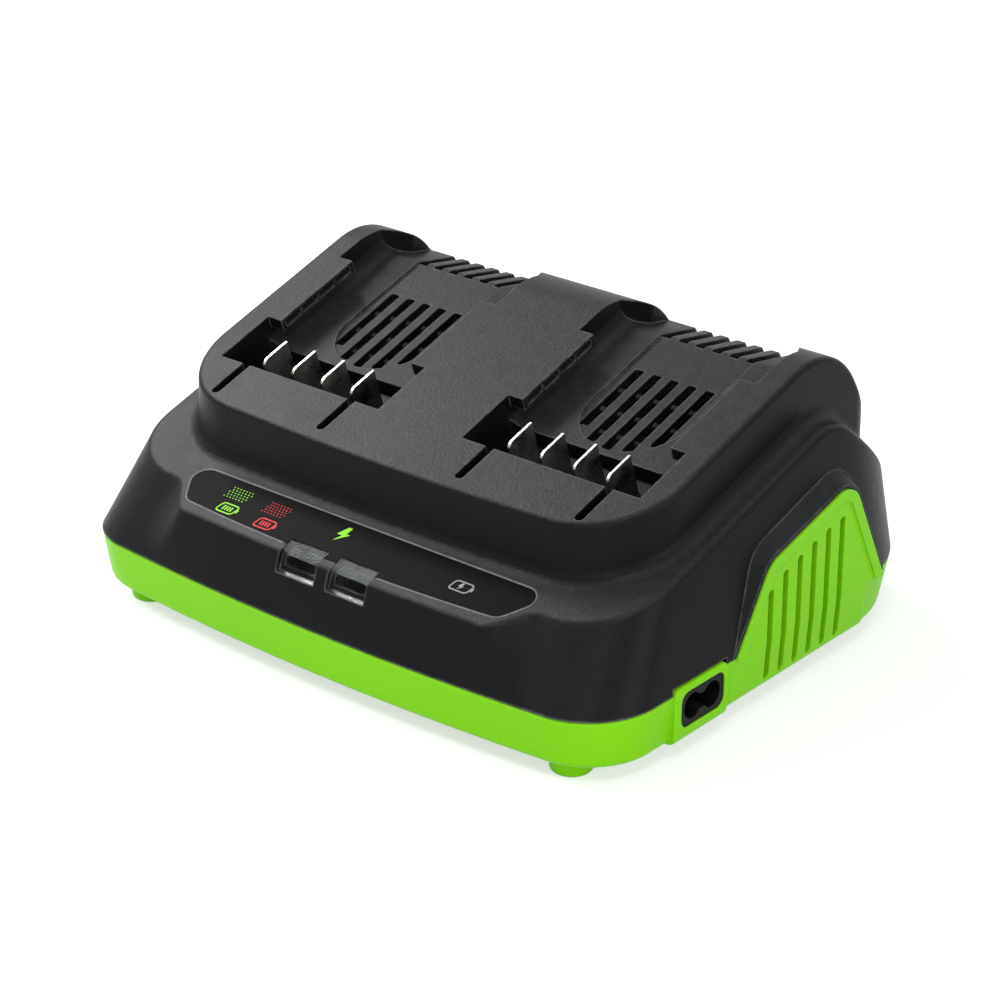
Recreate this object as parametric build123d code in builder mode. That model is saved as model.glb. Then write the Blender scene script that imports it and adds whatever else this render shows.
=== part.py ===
from build123d import *
from math import atan2, cos, degrees, radians, sin, sqrt, tan
import os

os.makedirs("parts", exist_ok=True)

# ---------------------------------------------------------------- driving dimensions (mm, degrees)
# The charger stands on its feet at Z = 0. X runs along its length, -Y is the panel side, +Z is up.

# Plan outline where the two shells meet
SPLIT_Z = 21.2
SPLIT_HALF_X = 101.6
FRONT_Y = -84.6
REAR_Y = 84.5
FRONT_BOW = 6.0
FRONT_RADIUS = 22.5
REAR_RADIUS = 41.0
SHELL_GAP = 0.3
WALL = 2.6

# Skirt of the top shell: its outline on the ledge's slope, Y values taken along that slope
LEDGE_HALF_X = 95.2
LEDGE_FRONT = -71.2
LEDGE_REAR = 80.0
LEDGE_FRONT_RADIUS = 24.0
LEDGE_REAR_RADIUS = 42.0

# Chin that carries the panel: the ledge's front line swells forward along it
CHIN_REACH = 10.8
CHIN_FRONT_HALF_X = 56.8
CHIN_REAR_HALF_X = 69.4
CHIN_BOW = 1.5
RING_FRONT_STEPS = 16
RING_CORNER_STEPS = 8
RING_SIDE_STEPS = 16
RING_END_STEPS = 12
RING_REAR_STEPS = 10

# Both decks rise to the rear at the same slope and end in a round crest
DECK_SLOPE = 17.5
DECK_Z = 80.53
LEDGE_Z = 63.4
CREST_START_Y = 24.0
DECK_CREST_RADIUS = 26.0
DECK_CREST_END = 57.0
DECK_BACK_RADIUS = 90.0
LEDGE_CREST_RADIUS = 18.0
LEDGE_CREST_END = 40.0
LEDGE_BACK_Z = 15.0
PROFILE_FRONT_Y = -110.0

# Upper tier, which carries the two bays
DECK_LOW_Z = 26.0
DECK_HIGH_Z = 92.0
DECK_LOW_HALF_X = 88.2
DECK_HIGH_HALF_X = 87.4
DECK_LOW_FRONT_Y = -57.4
DECK_HIGH_FRONT_Y = -54.4
DECK_FRONT_BOW = 3.0
DECK_FRONT_RADIUS = 27.0
DECK_REAR_Y = 63.4
DECK_REAR_RADIUS = 9.0
DECK_EDGE_RADIUS = 1.8
LEDGE_EDGE_RADIUS = 2.2
FLARE_RADIUS = 4.2
ON_FACE = 0.05
PAST = 1.0
VENT_CORNER = 0.66
CHORD_HALF = 0.5
CARRIER_CORNER = 1.0
LENS_SEAT_RUN = 1.0
LIGHT_WELL_RUN = 0.5
HUMP_FIELD_RUN = 2.0
NEAR_EDGE = 0.5
STEEP = 0.6

# Base shell
BASE_Z = 5.5
BASE_HALF_X = 99.9
BASE_FRONT_Y = -82.6
BASE_REAR_Y = 81.4
BASE_FRONT_RADIUS = 21.5
BASE_REAR_RADIUS = 41.0
BASE_EDGE_RADIUS = 3.0
BASE_FLOOR = 2.5

BASE_RIM_BEVEL = 0.5
LIP_LOW_Z = 18.0
LIP_TOP_Z = 23.4
LIP_INSET = 2.95
LIP_THICK = 1.3
LIP_LEAN = 1.7
LIP_ROOT_INSET = 1.5

# Battery bays, in the deck's own slope: along = distance up the slope, height = square to it
BAY_PITCH = 95.0
BAY_HALF_X = 31.7
BAY_FRONT = -38.8
BAY_FLOOR = -9.6
BAY_CREASE_Y = 35.5
BAY_FACET_SLOPE = 10.0
BAY_END_Y = 85.0
BAY_COVE_RADIUS = 4.5
BAY_REAR_HALF_X = 26.7
BAY_REAR_TURN_Y = 44.0
CUT_HEIGHT = 30.0
RAIL_HALF_GAP = 26.3
RAIL_THICK = 4.0
RAIL_FRONT = -17.3
RAIL_REAR = 16.4
RAIL_CELLS = 4
RAIL_CELL_DEPTH = 3.0
RAIL_CELL_TOP = -0.9
RAIL_CELL_LOW = -3.1
RAIL_CELL_WEB = 1.0
RAIL_CELL_END = 1.6
TROUGH_REAR = -18.8
TROUGH_FLOOR = -22.0
TROUGH_CORNER = 2.0
GUIDE_SLOT_X = 21.2
GUIDE_SLOT_WIDTH = 3.0
GUIDE_SLOT_FRONT = -52.2
GUIDE_SLOT_FLOOR = -9.0
VENT_FIELD_HALF_X = 16.9
VENT_FIELD_CENTRE = 0.4
VENT_FIELD_DEPTH = 0.8
VENT_COUNT = 5
VENT_PITCH = 6.35
VENT_WIDTH = 3.3
VENT_REAR = 18.5
VENT_MARGIN = 0.8
VENT_BAR_COUNT = 3
VENT_BAR_PITCH = 9.0
VENT_BAR_WIDTH = 1.2
VENT_BAR_DROP = 1.8
LOUVRE_COUNT = 6
LOUVRE_PITCH = 6.1
LOUVRE_GAP = 3.3
LOUVRE_FRONT_Y = 36.0
LOUVRE_LOW_Z = 55.0
BAY_XS = (-BAY_PITCH / 2, BAY_PITCH / 2)

# End humps of the base shell, which carry the air slots, and the pad round the inlet
HUMP_FACE_X = 102.3
HUMP_FIELD_X = 101.6
HUMP_LOW_X = 100.6
HUMP_BACK_X = 98.6
HUMP_ROOT_X = 95.5
PAD_ROOT_X = 97.0
HUMP_RISE_POINT = (-21.0, 21.2)
HUMP_RISE_ANGLE = 58.5
HUMP_CROWN_POINT = (-1.9, 46.3)
HUMP_CROWN_ANGLE = 16.1
HUMP_FALL_POINT = (37.5, 47.3)
HUMP_FALL_ANGLE = -63.6
HUMP_CROWN_FRONT_RADIUS = 10.0
HUMP_CROWN_REAR_RADIUS = 8.5
HUMP_FRONT_Y = -27.0
HUMP_REAR_Y = 47.0
HUMP_SIDE_RADIUS = 5.0
HUMP_RIM = 3.3
HUMP_EDGE_RADIUS = 3.0
HUMP_HOOD_LIP = 1.3
HUMP_HOOD_SPREAD = 9.0
HUMP_HOOD_DEPTH = 12.0
HUMP_HOOD_X = 101.7
AIR_SLOT_TOPS = (36.3, 40.0, 42.0, 43.8, 45.4, 46.4)
AIR_SLOT_FIRST_Y = -5.3
AIR_SLOT_PITCH = 6.86
AIR_SLOT_WIDTH = 2.7
AIR_SLOT_LOW_Z = 8.2
AIR_SLOT_DEPTH = 12.0
PAD_FRONT_Y = -49.5
PAD_REAR_Y = -25.5
PAD_TOP_Z = 22.8
PAD_CORNER = 2.4
PAD_EDGE_RADIUS = 0.6

# Inlet, a two-pole C8 type whose pins stand 8.6 apart
INLET_FACE_X = 101.9
INLET_Y = -37.0
INLET_Z = 15.3
INLET_WIDTH = 19.5
INLET_HEIGHT = 10.7
INLET_CORNER = 3.0
INLET_FIT = 0.15
INLET_DEPTH = 20.0
INLET_OPENING_DEPTH = 12.0
INLET_CAVITY_DEPTH = 14.0
INLET_LOBE_RADIUS = 3.9
INLET_WAIST = 4.6
INLET_FLANGE = 1.6
INLET_COLLAR_X = 95.2
PIN_PITCH = 8.6
PIN_RADIUS = 1.2
PIN_LENGTH = 9.0
PIN_TAIL = 3.5

# Panel and light windows on the front ledge; panel lengths are taken along its slope
PANEL_FRONT = -79.0
PANEL_REAR = -62.9
PANEL_FRONT_HALF_X = 59.3
PANEL_REAR_HALF_X = 68.3
PANEL_BOW = 2.2
PANEL_CORNER = 4.5
PANEL_THICK = 0.8
PANEL_FIT = 0.15
LENS_XS = (-9.5, 9.5)
LENS_HALF_X = 7.1
LENS_REAR_Y = -73.1
LENS_LOW_Z = 33.0
LENS_THICK = 1.8
LENS_FIT = 0.12
LENS_CORNER = 2.0
LENS_DIMPLE_RADIUS = 0.9
LENS_DIMPLE_DEPTH = 0.5
LIGHT_WELL_HALF_X = 5.6
LIGHT_WELL_INSET = 1.5

# Feet and case screws
FOOT_POINTS = ((-81.3, -67.9), (81.3, -67.9), (-76.0, 62.0), (76.0, 62.0))
FOOT_RADIUS = 6.7
FOOT_TAPER = 0.6
FOOT_EDGE_RADIUS = 1.2
FOOT_BOSS_RADIUS = 5.6
FOOT_BOSS_TOP_Z = 20.0
FOOT_WELL_RADIUS = 3.5
FOOT_WELL_TOP_Z = 12.0
SCREW_HEAD_RADIUS = 3.0
SCREW_HEAD_HEIGHT = 2.2
SCREW_RADIUS = 1.45
SCREW_HOLE_RADIUS = 1.8
SCREW_LENGTH = 14.0
POST_RADIUS = 4.0
POST_TOP_ZS = (30.6, 30.6, 46.0, 46.0)
POST_PILOT_RADIUS = 1.5
POST_PILOT_TOP_Z = 27.0

# Main board on posts in the base shell
BOARD_Z = 13.0
BOARD_THICK = 1.6
BOARD_LENGTH = 154.0
BOARD_FRONT_Y = -60.0
BOARD_REAR_Y = 52.0
BOARD_CORNER = 3.0
BOARD_HOLE_RADIUS = 1.5
BOARD_POSTS = ((-70.0, -54.0), (70.0, -54.0), (-70.0, 46.0), (70.0, 46.0))
BOARD_SCREW_HEAD_RADIUS = 2.4
BOARD_SCREW_HEAD = 1.8
BOARD_SCREW_RADIUS = 1.15
BOARD_SCREW_LENGTH = 5.5
BOARD_POST_RADIUS = 3.5
BOARD_PILOT_Z = 8.5
BOARD_PILOT_RADIUS = 1.2

# Fan that stands in a cradle behind the left air slots and blows along X
FAN_X = -86.5
FAN_Y = 12.0
FAN_Z = 29.0
FAN_SIZE = 40.0
FAN_DEPTH = 10.0
FAN_FIT = 0.2
FAN_CORNER = 3.0
FAN_BORE_RADIUS = 19.0
FAN_HOLE_PITCH = 32.0
FAN_HOLE_RADIUS = 1.7
FAN_DISC_RADIUS = 8.5
FAN_DISC_THICK = 2.0
FAN_STRUTS = 3
FAN_STRUT_WIDTH = 2.4
FAN_PIN_RADIUS = 1.5
FAN_PIN_LENGTH = 5.5
FAN_RUNNING_GAP = 0.05
ROTOR_HUB_RADIUS = 8.0
ROTOR_HUB_BACK = -2.6
ROTOR_HUB_FRONT = 4.4
ROTOR_HUB_EDGE = 1.0
ROTOR_BLADES = 7
ROTOR_BLADE_REACH = 18.1
ROTOR_BLADE_CHORD = 8.0
ROTOR_BLADE_THICK = 0.9
ROTOR_BLADE_PITCH = 35.0
ROTOR_BLADE_Z = 0.9
FAN_CRADLE = 6.0
FAN_CRADLE_WALL = 2.0
FAN_CRADLE_GRIP = 2.5
FAN_CRADLE_HEIGHT = 28.0

# Contact blades and their carriers, four blades in each bay
BLADE_XS = (-17.55, -5.85, 5.85, 17.55)
BLADE_THICK = 0.8
BLADE_FRONT = -35.6
BLADE_REAR = -24.6
BLADE_TOP = -0.2
BLADE_FOOT = -17.0
BLADE_CORNER = 2.4
TAIL_FRONT = -32.0
TAIL_REAR = -28.0
TAIL_LOW = -28.0
TAIL_SLIT = 0.15
CARRIER_HALF_X = 24.0
CARRIER_FRONT = -37.6
CARRIER_REAR = -20.2
CARRIER_TOP = -12.8
CARRIER_GAP = 0.05
CARRIER_EDGE_RADIUS = 0.8
LEAD_RADIUS = 0.9
LEAD_Y = -19.4
LEAD_TOP_Z = 43.9

# Light board below the front ledge, square to the ledge
LIGHT_BOARD_HALF_X = 32.0
LIGHT_BOARD_FRONT = -75.0
LIGHT_BOARD_REAR = -61.0
LIGHT_BOARD_TOP = -7.2
LIGHT_BOARD_THICK = 1.6
LIGHT_POST_XS = (-27.0, 27.0)
LIGHT_POST_ALONG = -67.0
LIGHT_POST_RADIUS = 2.4
LIGHT_PEG_RADIUS = 1.0
LIGHT_PEG_FIT = 0.1
LED_OFFSETS = (-3.0, 3.0)
LED_SIZE = 3.0
LED_HEIGHT = 2.0
LED_ALONG = -71.5

# Large parts on the main board
CORE_POINT = (0.0, 12.0)
CORE_LENGTH = 36.0
CORE_DEPTH = 14.0
CORE_HEIGHT = 32.0
CORE_LEG = 10.0
CORE_WINDOW = 8.0
CORE_YOKE = 5.5
WINDING_LENGTH = 25.0
WINDING_DEPTH = 27.0
WINDING_CORNER = 4.0
WINDING_GAP = 0.3
BULK_POINTS = ((-11.0, -32.0), (11.0, -32.0))
BULK_RADIUS = 9.5
BULK_HEIGHT = 27.0
BULK_EDGE_RADIUS = 1.2
CHOKE_POINT = (46.0, -42.0)
CHOKE_RADIUS = 11.0
CHOKE_BORE_RADIUS = 4.5
CHOKE_WIDTH = 9.0
CHOKE_EDGE_RADIUS = 2.5
FILM_POINT = (60.0, -4.0)
FILM_LENGTH = 18.0
FILM_DEPTH = 8.0
FILM_HEIGHT = 15.0
FILM_EDGE_RADIUS = 0.8
FUSE_POINT = (66.0, -40.0)
FUSE_RADIUS = 2.6
FUSE_CAP_RADIUS = 3.1
FUSE_LENGTH = 20.0
FUSE_CAP_LENGTH = 5.0
SINK_LENGTH = 44.0
SINK_HEIGHT = 28.0
SINK_PLATE = 2.5
SINK_FIN_COUNT = 9
SINK_FIN_PITCH = 5.0
SINK_FIN_THICK = 1.4
SINK_FIN_REACH = 9.0
PRIMARY_SINK_POINT = (46.0, 22.0)
SECONDARY_SINK_POINT = (-46.0, 22.0)
TRANSISTOR_OFFSETS = (-12.0, 12.0)
TRANSISTOR_LENGTH = 10.2
TRANSISTOR_THICK = 4.6
TRANSISTOR_HEIGHT = 15.5
TRANSISTOR_RISE = 6.0
SEAT_GAP = 0.05

SLOPE_SIN = sin(radians(DECK_SLOPE))
SLOPE_COS = cos(radians(DECK_SLOPE))
SLOPE_TAN = tan(radians(DECK_SLOPE))

# Heights that follow from the ones above
BASE_TOP_Z = SPLIT_Z - SHELL_GAP / 2
BASE_INSIDE_Z = BASE_Z + BASE_FLOOR
TOP_LOW_Z = SPLIT_Z + SHELL_GAP / 2
CAVITY_LOW_Z = TOP_LOW_Z - 1
PARTS_Z = BOARD_Z + BOARD_THICK + SEAT_GAP
ON_BOARD = (Align.CENTER, Align.CENTER, Align.MIN)

# Front face of the skirt in the middle, where the light windows bend over it
CHIN_TOP_Y = (LEDGE_FRONT - CHIN_REACH) * SLOPE_COS
CHIN_TOP_Z = LEDGE_Z + CHIN_TOP_Y * SLOPE_TAN
SKIRT_FRONT_ANGLE = degrees(atan2(CHIN_TOP_Z - SPLIT_Z, CHIN_TOP_Y - FRONT_Y))


# ---------------------------------------------------------------- helpers


def deck_point(along, height):
    """Side-view point (Y, Z) at a distance along the deck slope and a height square to it."""
    return (along * SLOPE_COS - height * SLOPE_SIN, DECK_Z + along * SLOPE_SIN + height * SLOPE_COS)


def arch_profile(level, crest_radius, end_slope, tail_radius, low_z, drop):
    """Side view of a deck: a rising line, a round crest and a falling back, closed at low_z.

    level is the deck's height at Y = 0; drop lowers the line square to itself, for an inner face.
    """
    centre_y = CREST_START_Y + crest_radius * SLOPE_SIN
    centre_z = level + CREST_START_Y * SLOPE_TAN - crest_radius * SLOPE_COS
    radius = crest_radius - drop
    end_sin = sin(radians(end_slope))
    end_cos = cos(radians(end_slope))
    start = (PROFILE_FRONT_Y, level + PROFILE_FRONT_Y * SLOPE_TAN - drop / SLOPE_COS)
    crest_start = (centre_y - radius * SLOPE_SIN, centre_z + radius * SLOPE_COS)
    crest_top = (centre_y, centre_z + radius)
    crest_end = (centre_y + radius * end_sin, centre_z + radius * end_cos)
    with BuildSketch(Plane.YZ) as side:
        with BuildLine():
            Line(start, crest_start)
            ThreePointArc(crest_start, crest_top, crest_end)
            if tail_radius > 0:
                tail_y = centre_y + (crest_radius - tail_radius) * end_sin
                tail_z = centre_z + (crest_radius - tail_radius) * end_cos
                tail = tail_radius - drop
                middle = radians((end_slope + 90) / 2)
                back = (tail_y + tail, tail_z)
                ThreePointArc(crest_end, (tail_y + tail * sin(middle), tail_z + tail * cos(middle)), back)
            else:
                back = (crest_end[0] + (crest_end[1] - low_z) * end_cos / end_sin, low_z)
                Line(crest_end, back)
            Polyline(back, (back[0], low_z - PAST), (PROFILE_FRONT_Y, low_z - PAST), start)
        make_face()
    return side.sketch


def plan_outline(z, half_x, front_y, rear_y, bow, front_radius, rear_radius):
    """Rounded plan outline with a slightly bowed front edge, on a level plane."""
    with BuildSketch(Plane.XY.offset(z)) as plan:
        with BuildLine():
            ThreePointArc((-half_x, front_y + bow), (0, front_y), (half_x, front_y + bow))
            Polyline((half_x, front_y + bow), (half_x, rear_y), (-half_x, rear_y), (-half_x, front_y + bow))
        make_face()
        fillet(plan.vertices().sort_by(Axis.Y)[:2], front_radius)
        fillet(plan.vertices().sort_by(Axis.Y)[-2:], rear_radius)
    return plan.sketch


def chin_line(x):
    """Y of the ledge's front line at x: it swells forward along the chin and is slightly bowed."""
    share = (CHIN_REAR_HALF_X - abs(x)) / (CHIN_REAR_HALF_X - CHIN_FRONT_HALF_X)
    share = min(max(share, 0), 1)
    swell = share * share * (3 - 2 * share)
    return LEDGE_FRONT - CHIN_REACH * swell + CHIN_BOW * (x / CHIN_REAR_HALF_X) ** 2


def ledge_line(x, inset):
    """Point of the ledge's front line at x, moved inward square to the line."""
    slope = (chin_line(x + CHORD_HALF) - chin_line(x - CHORD_HALF)) / (2 * CHORD_HALF)
    length = sqrt(1 + slope * slope)
    return (x - inset * slope / length, chin_line(x) + inset / length)


def ring_outline(plane, front_line, half_x, rear, front_radius, rear_radius, inset):
    """Closed smooth outline with a shaped front line, moved inward by inset."""
    reach = half_x - front_radius
    side_x = half_x - inset
    side_radius = front_radius - inset
    end_radius = rear_radius - inset
    end_y = rear - rear_radius
    half = []
    for step in range(RING_FRONT_STEPS + 1):
        half.append(front_line(reach * step / RING_FRONT_STEPS, inset))
    start_y = half[-1][1] + side_radius
    for step in range(1, RING_CORNER_STEPS):
        turn = radians(90 * step / RING_CORNER_STEPS)
        half.append((reach + side_radius * sin(turn), start_y - side_radius * cos(turn)))
    for step in range(RING_SIDE_STEPS + 1):
        half.append((side_x, start_y + (end_y - start_y) * step / RING_SIDE_STEPS))
    for step in range(1, RING_END_STEPS):
        turn = radians(90 * step / RING_END_STEPS)
        half.append((side_x - end_radius * (1 - cos(turn)), end_y + end_radius * sin(turn)))
    for step in range(RING_REAR_STEPS + 1):
        half.append(((half_x - rear_radius) * (1 - step / RING_REAR_STEPS), end_y + end_radius))
    places = [index / (len(half) - 1) for index in range(len(half))]
    with BuildSketch(plane) as plan:
        with BuildLine():
            add(Edge.make_spline(half, tangents=[(1, 0), (-1, 0)], parameters=places))
            mirror(about=Plane.YZ)
        make_face()
    return plan.sketch


def split_line(x, inset):
    """Point of the front line at x where the shells meet, moved inward by inset."""
    return (x, FRONT_Y + FRONT_BOW * (x / SPLIT_HALF_X) ** 2 + inset)


def skirt_outlines(low_z, inset):
    """The two outlines between which the skirt's walls lean, moved inward by inset."""
    low = ring_outline(
        Plane.XY.offset(low_z), split_line, SPLIT_HALF_X, REAR_Y, FRONT_RADIUS, REAR_RADIUS, inset,
    )
    high = ring_outline(
        ledge_plane(0), ledge_line, LEDGE_HALF_X, LEDGE_REAR, LEDGE_FRONT_RADIUS, LEDGE_REAR_RADIUS, inset,
    )
    return [low, high]


def split_outline(z, inset):
    """Outline of the housing where the shells meet, drawn at a height and moved inward by inset."""
    return plan_outline(
        z, SPLIT_HALF_X - inset, FRONT_Y + inset, REAR_Y - inset, FRONT_BOW,
        FRONT_RADIUS - inset, REAR_RADIUS - inset,
    )


def base_outline(z, inset):
    """Outline of the base shell at a height, moved inward by inset."""
    share = (z - BASE_Z) / (SPLIT_Z - BASE_Z)
    half_x = BASE_HALF_X + share * (SPLIT_HALF_X - BASE_HALF_X) - inset
    front_y = BASE_FRONT_Y + share * (FRONT_Y - BASE_FRONT_Y) + inset
    rear_y = BASE_REAR_Y + share * (REAR_Y - BASE_REAR_Y) - inset
    front_radius = BASE_FRONT_RADIUS + share * (FRONT_RADIUS - BASE_FRONT_RADIUS) - inset
    rear_radius = BASE_REAR_RADIUS + share * (REAR_RADIUS - BASE_REAR_RADIUS) - inset
    return plan_outline(z, half_x, front_y, rear_y, FRONT_BOW, front_radius, rear_radius)


def deck_outline(z, inset):
    """Outline of the upper tier at a height, moved inward by inset."""
    share = (z - DECK_LOW_Z) / (DECK_HIGH_Z - DECK_LOW_Z)
    half_x = DECK_LOW_HALF_X + share * (DECK_HIGH_HALF_X - DECK_LOW_HALF_X) - inset
    front_y = DECK_LOW_FRONT_Y + share * (DECK_HIGH_FRONT_Y - DECK_LOW_FRONT_Y) + inset
    return plan_outline(
        z, half_x, front_y, DECK_REAR_Y - inset, DECK_FRONT_BOW,
        DECK_FRONT_RADIUS - inset, DECK_REAR_RADIUS - inset,
    )


def deck_arch(drop):
    """Side view of the upper tier, lowered by drop."""
    return arch_profile(DECK_Z, DECK_CREST_RADIUS, DECK_CREST_END, DECK_BACK_RADIUS, DECK_LOW_Z, drop)


def ledge_arch(drop):
    """Side view of the lower tier, lowered by drop."""
    return arch_profile(LEDGE_Z, LEDGE_CREST_RADIUS, LEDGE_CREST_END, 0, LEDGE_BACK_Z, drop)


def ledge_plane(height):
    """Plane parallel to the front ledge, raised square to it."""
    return Plane(origin=(0, 0, LEDGE_Z), x_dir=(1, 0, 0), z_dir=(0, -SLOPE_SIN, SLOPE_COS)).offset(height)


def is_shallow(edge):
    """True for an edge that runs along a tier's crease, false for a seam that climbs its wall."""
    return abs(edge.tangent_at(0.5).Z) < STEEP


def ledge_height(y):
    """Height of the lower tier's top at Y, over its crest and down its back."""
    centre_y = CREST_START_Y + LEDGE_CREST_RADIUS * SLOPE_SIN
    centre_z = LEDGE_Z + CREST_START_Y * SLOPE_TAN - LEDGE_CREST_RADIUS * SLOPE_COS
    fall_y = centre_y + LEDGE_CREST_RADIUS * sin(radians(LEDGE_CREST_END))
    if y < CREST_START_Y:
        return LEDGE_Z + y * SLOPE_TAN
    if y < fall_y:
        return centre_z + sqrt(LEDGE_CREST_RADIUS ** 2 - (y - centre_y) ** 2)
    fall_z = centre_z + LEDGE_CREST_RADIUS * cos(radians(LEDGE_CREST_END))
    return fall_z - (y - fall_y) * tan(radians(LEDGE_CREST_END))


def is_crease(edge):
    """True for an edge between the lower tier's top and its walls."""
    middle = edge @ 0.5
    outside = abs(middle.X) > DECK_LOW_HALF_X or abs(middle.Y) > DECK_REAR_Y
    return outside and abs(middle.Z - ledge_height(middle.Y)) < ON_FACE


def is_inner_corner(edge):
    """True for an edge where the upper tier's walls stand on the ledge."""
    middle = edge @ 0.5
    inside = abs(middle.X) < DECK_LOW_HALF_X and DECK_LOW_FRONT_Y < middle.Y < DECK_REAR_Y
    return inside and abs(middle.Z - ledge_height(middle.Y)) < ON_FACE


def is_bay_floor_edge(edge):
    """True for the side edges of a bay's floor, along the slope and down the rear facet."""
    middle = edge.center()
    along = edge.tangent_at(0.5)
    floor_z = DECK_Z + middle.Y * SLOPE_TAN + BAY_FLOOR / SLOPE_COS
    return abs(along.X) < NEAR_EDGE and middle.Z < floor_z + PAST and abs(along.Z) < STEEP


def is_outer_low_edge(edge):
    """True for the bottom outer edges of the end humps and the inlet's pad."""
    middle = edge.center()
    is_end = abs(middle.X) > HUMP_LOW_X - PAST
    return is_end and middle.Z < BASE_Z + PAST and abs(edge.tangent_at(0.5).Y) > STEEP


def is_outer_end_edge(edge):
    """True for the upright outer edges of the end humps."""
    return abs(edge.center().X) > HUMP_LOW_X - PAST and abs(edge.tangent_at(0.5).Z) > STEEP


def is_deck_rim(edge):
    """True for an edge between the upper tier's deck or back and its walls."""
    middle = edge.center()
    return is_shallow(edge) or middle.Y > DECK_REAR_Y - DECK_REAR_RADIUS + PAST


def meet(point_a, angle_a, point_b, angle_b):
    """Point where two lines cross, each given by a point and an angle in degrees."""
    sin_a, cos_a = sin(radians(angle_a)), cos(radians(angle_a))
    sin_b, cos_b = sin(radians(angle_b)), cos(radians(angle_b))
    gap_y = point_b[0] - point_a[0]
    gap_z = point_b[1] - point_a[1]
    reach = (gap_y * sin_b - gap_z * cos_b) / (cos_a * sin_b - sin_a * cos_b)
    return (point_a[0] + reach * cos_a, point_a[1] + reach * sin_a)


def moved_out(point, angle, growth):
    """A point moved by growth to the left of a direction given in degrees."""
    return (point[0] - growth * sin(radians(angle)), point[1] + growth * cos(radians(angle)))


def hump_outline(x, growth, shelf_z, low_z):
    """Side view of an end hump on the plane at x, grown outward, standing on a shelf."""
    rise = moved_out(HUMP_RISE_POINT, HUMP_RISE_ANGLE, growth)
    crown = moved_out(HUMP_CROWN_POINT, HUMP_CROWN_ANGLE, growth)
    fall = moved_out(HUMP_FALL_POINT, HUMP_FALL_ANGLE, growth)
    foot_front = meet(rise, HUMP_RISE_ANGLE, (0, shelf_z), 0)
    shoulder_front = meet(rise, HUMP_RISE_ANGLE, crown, HUMP_CROWN_ANGLE)
    shoulder_rear = meet(crown, HUMP_CROWN_ANGLE, fall, HUMP_FALL_ANGLE)
    foot_rear = meet(fall, HUMP_FALL_ANGLE, (0, shelf_z), 0)
    with BuildSketch(Plane.YZ.offset(x)) as side:
        with BuildLine():
            Polyline(
                (foot_front[0], low_z), foot_front, shoulder_front, shoulder_rear, foot_rear,
                (foot_rear[0], low_z), (foot_front[0], low_z),
            )
        make_face()
        fillet(side.vertices().sort_by_distance(shoulder_front)[:1], HUMP_CROWN_FRONT_RADIUS + growth)
        fillet(side.vertices().sort_by_distance(shoulder_rear)[:1], HUMP_CROWN_REAR_RADIUS + growth)
    return side.sketch


# ---------------------------------------------------------------- top shell: two tiers


with BuildPart() as lower_tier:
    loft(sections=skirt_outlines(TOP_LOW_Z, 0), ruled=True)
    extrude(to_extrude=ledge_arch(0), amount=SPLIT_HALF_X * 2, both=True, mode=Mode.INTERSECT)
    crease_edges = lower_tier.edges().filter_by(is_crease)
    fillet(crease_edges, LEDGE_EDGE_RADIUS)

with BuildPart() as upper_tier:
    loft(sections=[deck_outline(DECK_LOW_Z, 0), deck_outline(DECK_HIGH_Z, 0)], ruled=True)
    extrude(to_extrude=deck_arch(0), amount=SPLIT_HALF_X * 2, both=True, mode=Mode.INTERSECT)
    crown_edges = upper_tier.edges().filter_by(GeomType.BSPLINE).filter_by(is_deck_rim)
    fillet(crown_edges, DECK_EDGE_RADIUS)

with BuildPart() as tiers:
    add(lower_tier.part)
    add(upper_tier.part)
    inner_edges = tiers.edges().filter_by(is_inner_corner)
    fillet(inner_edges, FLARE_RADIUS)

# ---------------------------------------------------------------- battery bays


def deck_plane(bay_x, height):
    """Plane parallel to the upper deck at one bay, raised square to it."""
    return Plane(origin=(bay_x, 0, DECK_Z), x_dir=(1, 0, 0), z_dir=(0, -SLOPE_SIN, SLOPE_COS)).offset(height)


def crease_point(floor_height, facet_drop):
    """Side-view point where the sloping bay floor turns into its rear facet."""
    facet_tan = tan(radians(BAY_FACET_SLOPE))
    turn_z = DECK_Z + BAY_CREASE_Y * SLOPE_TAN + BAY_FLOOR / SLOPE_COS
    facet_z = turn_z - facet_drop / cos(radians(BAY_FACET_SLOPE))
    floor_z = DECK_Z + floor_height / SLOPE_COS
    crease_y = (facet_z + BAY_CREASE_Y * facet_tan - floor_z) / (SLOPE_TAN + facet_tan)
    return (crease_y, floor_z + crease_y * SLOPE_TAN)


def facet_end(crease):
    """Side-view point where the rear facet, carried on, leaves the housing."""
    return (BAY_END_Y, crease[1] - (BAY_END_Y - crease[0]) * tan(radians(BAY_FACET_SLOPE)))


def bay_cut_profile(bay_x):
    """Side view of the bay below and round its rails, cut to the full bay width."""
    crease = crease_point(BAY_FLOOR, 0)
    with BuildSketch(Plane.YZ.offset(bay_x)) as side:
        with BuildLine():
            Polyline(
                deck_point(BAY_FRONT, BAY_FLOOR), crease, facet_end(crease),
                (BAY_END_Y, DECK_HIGH_Z + CUT_HEIGHT), deck_point(RAIL_REAR, CUT_HEIGHT),
                deck_point(RAIL_REAR, -RAIL_THICK), deck_point(RAIL_FRONT, -RAIL_THICK),
                deck_point(RAIL_FRONT, CUT_HEIGHT), deck_point(BAY_FRONT, CUT_HEIGHT),
                deck_point(BAY_FRONT, BAY_FLOOR),
            )
        make_face()
    return side.sketch


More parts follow.
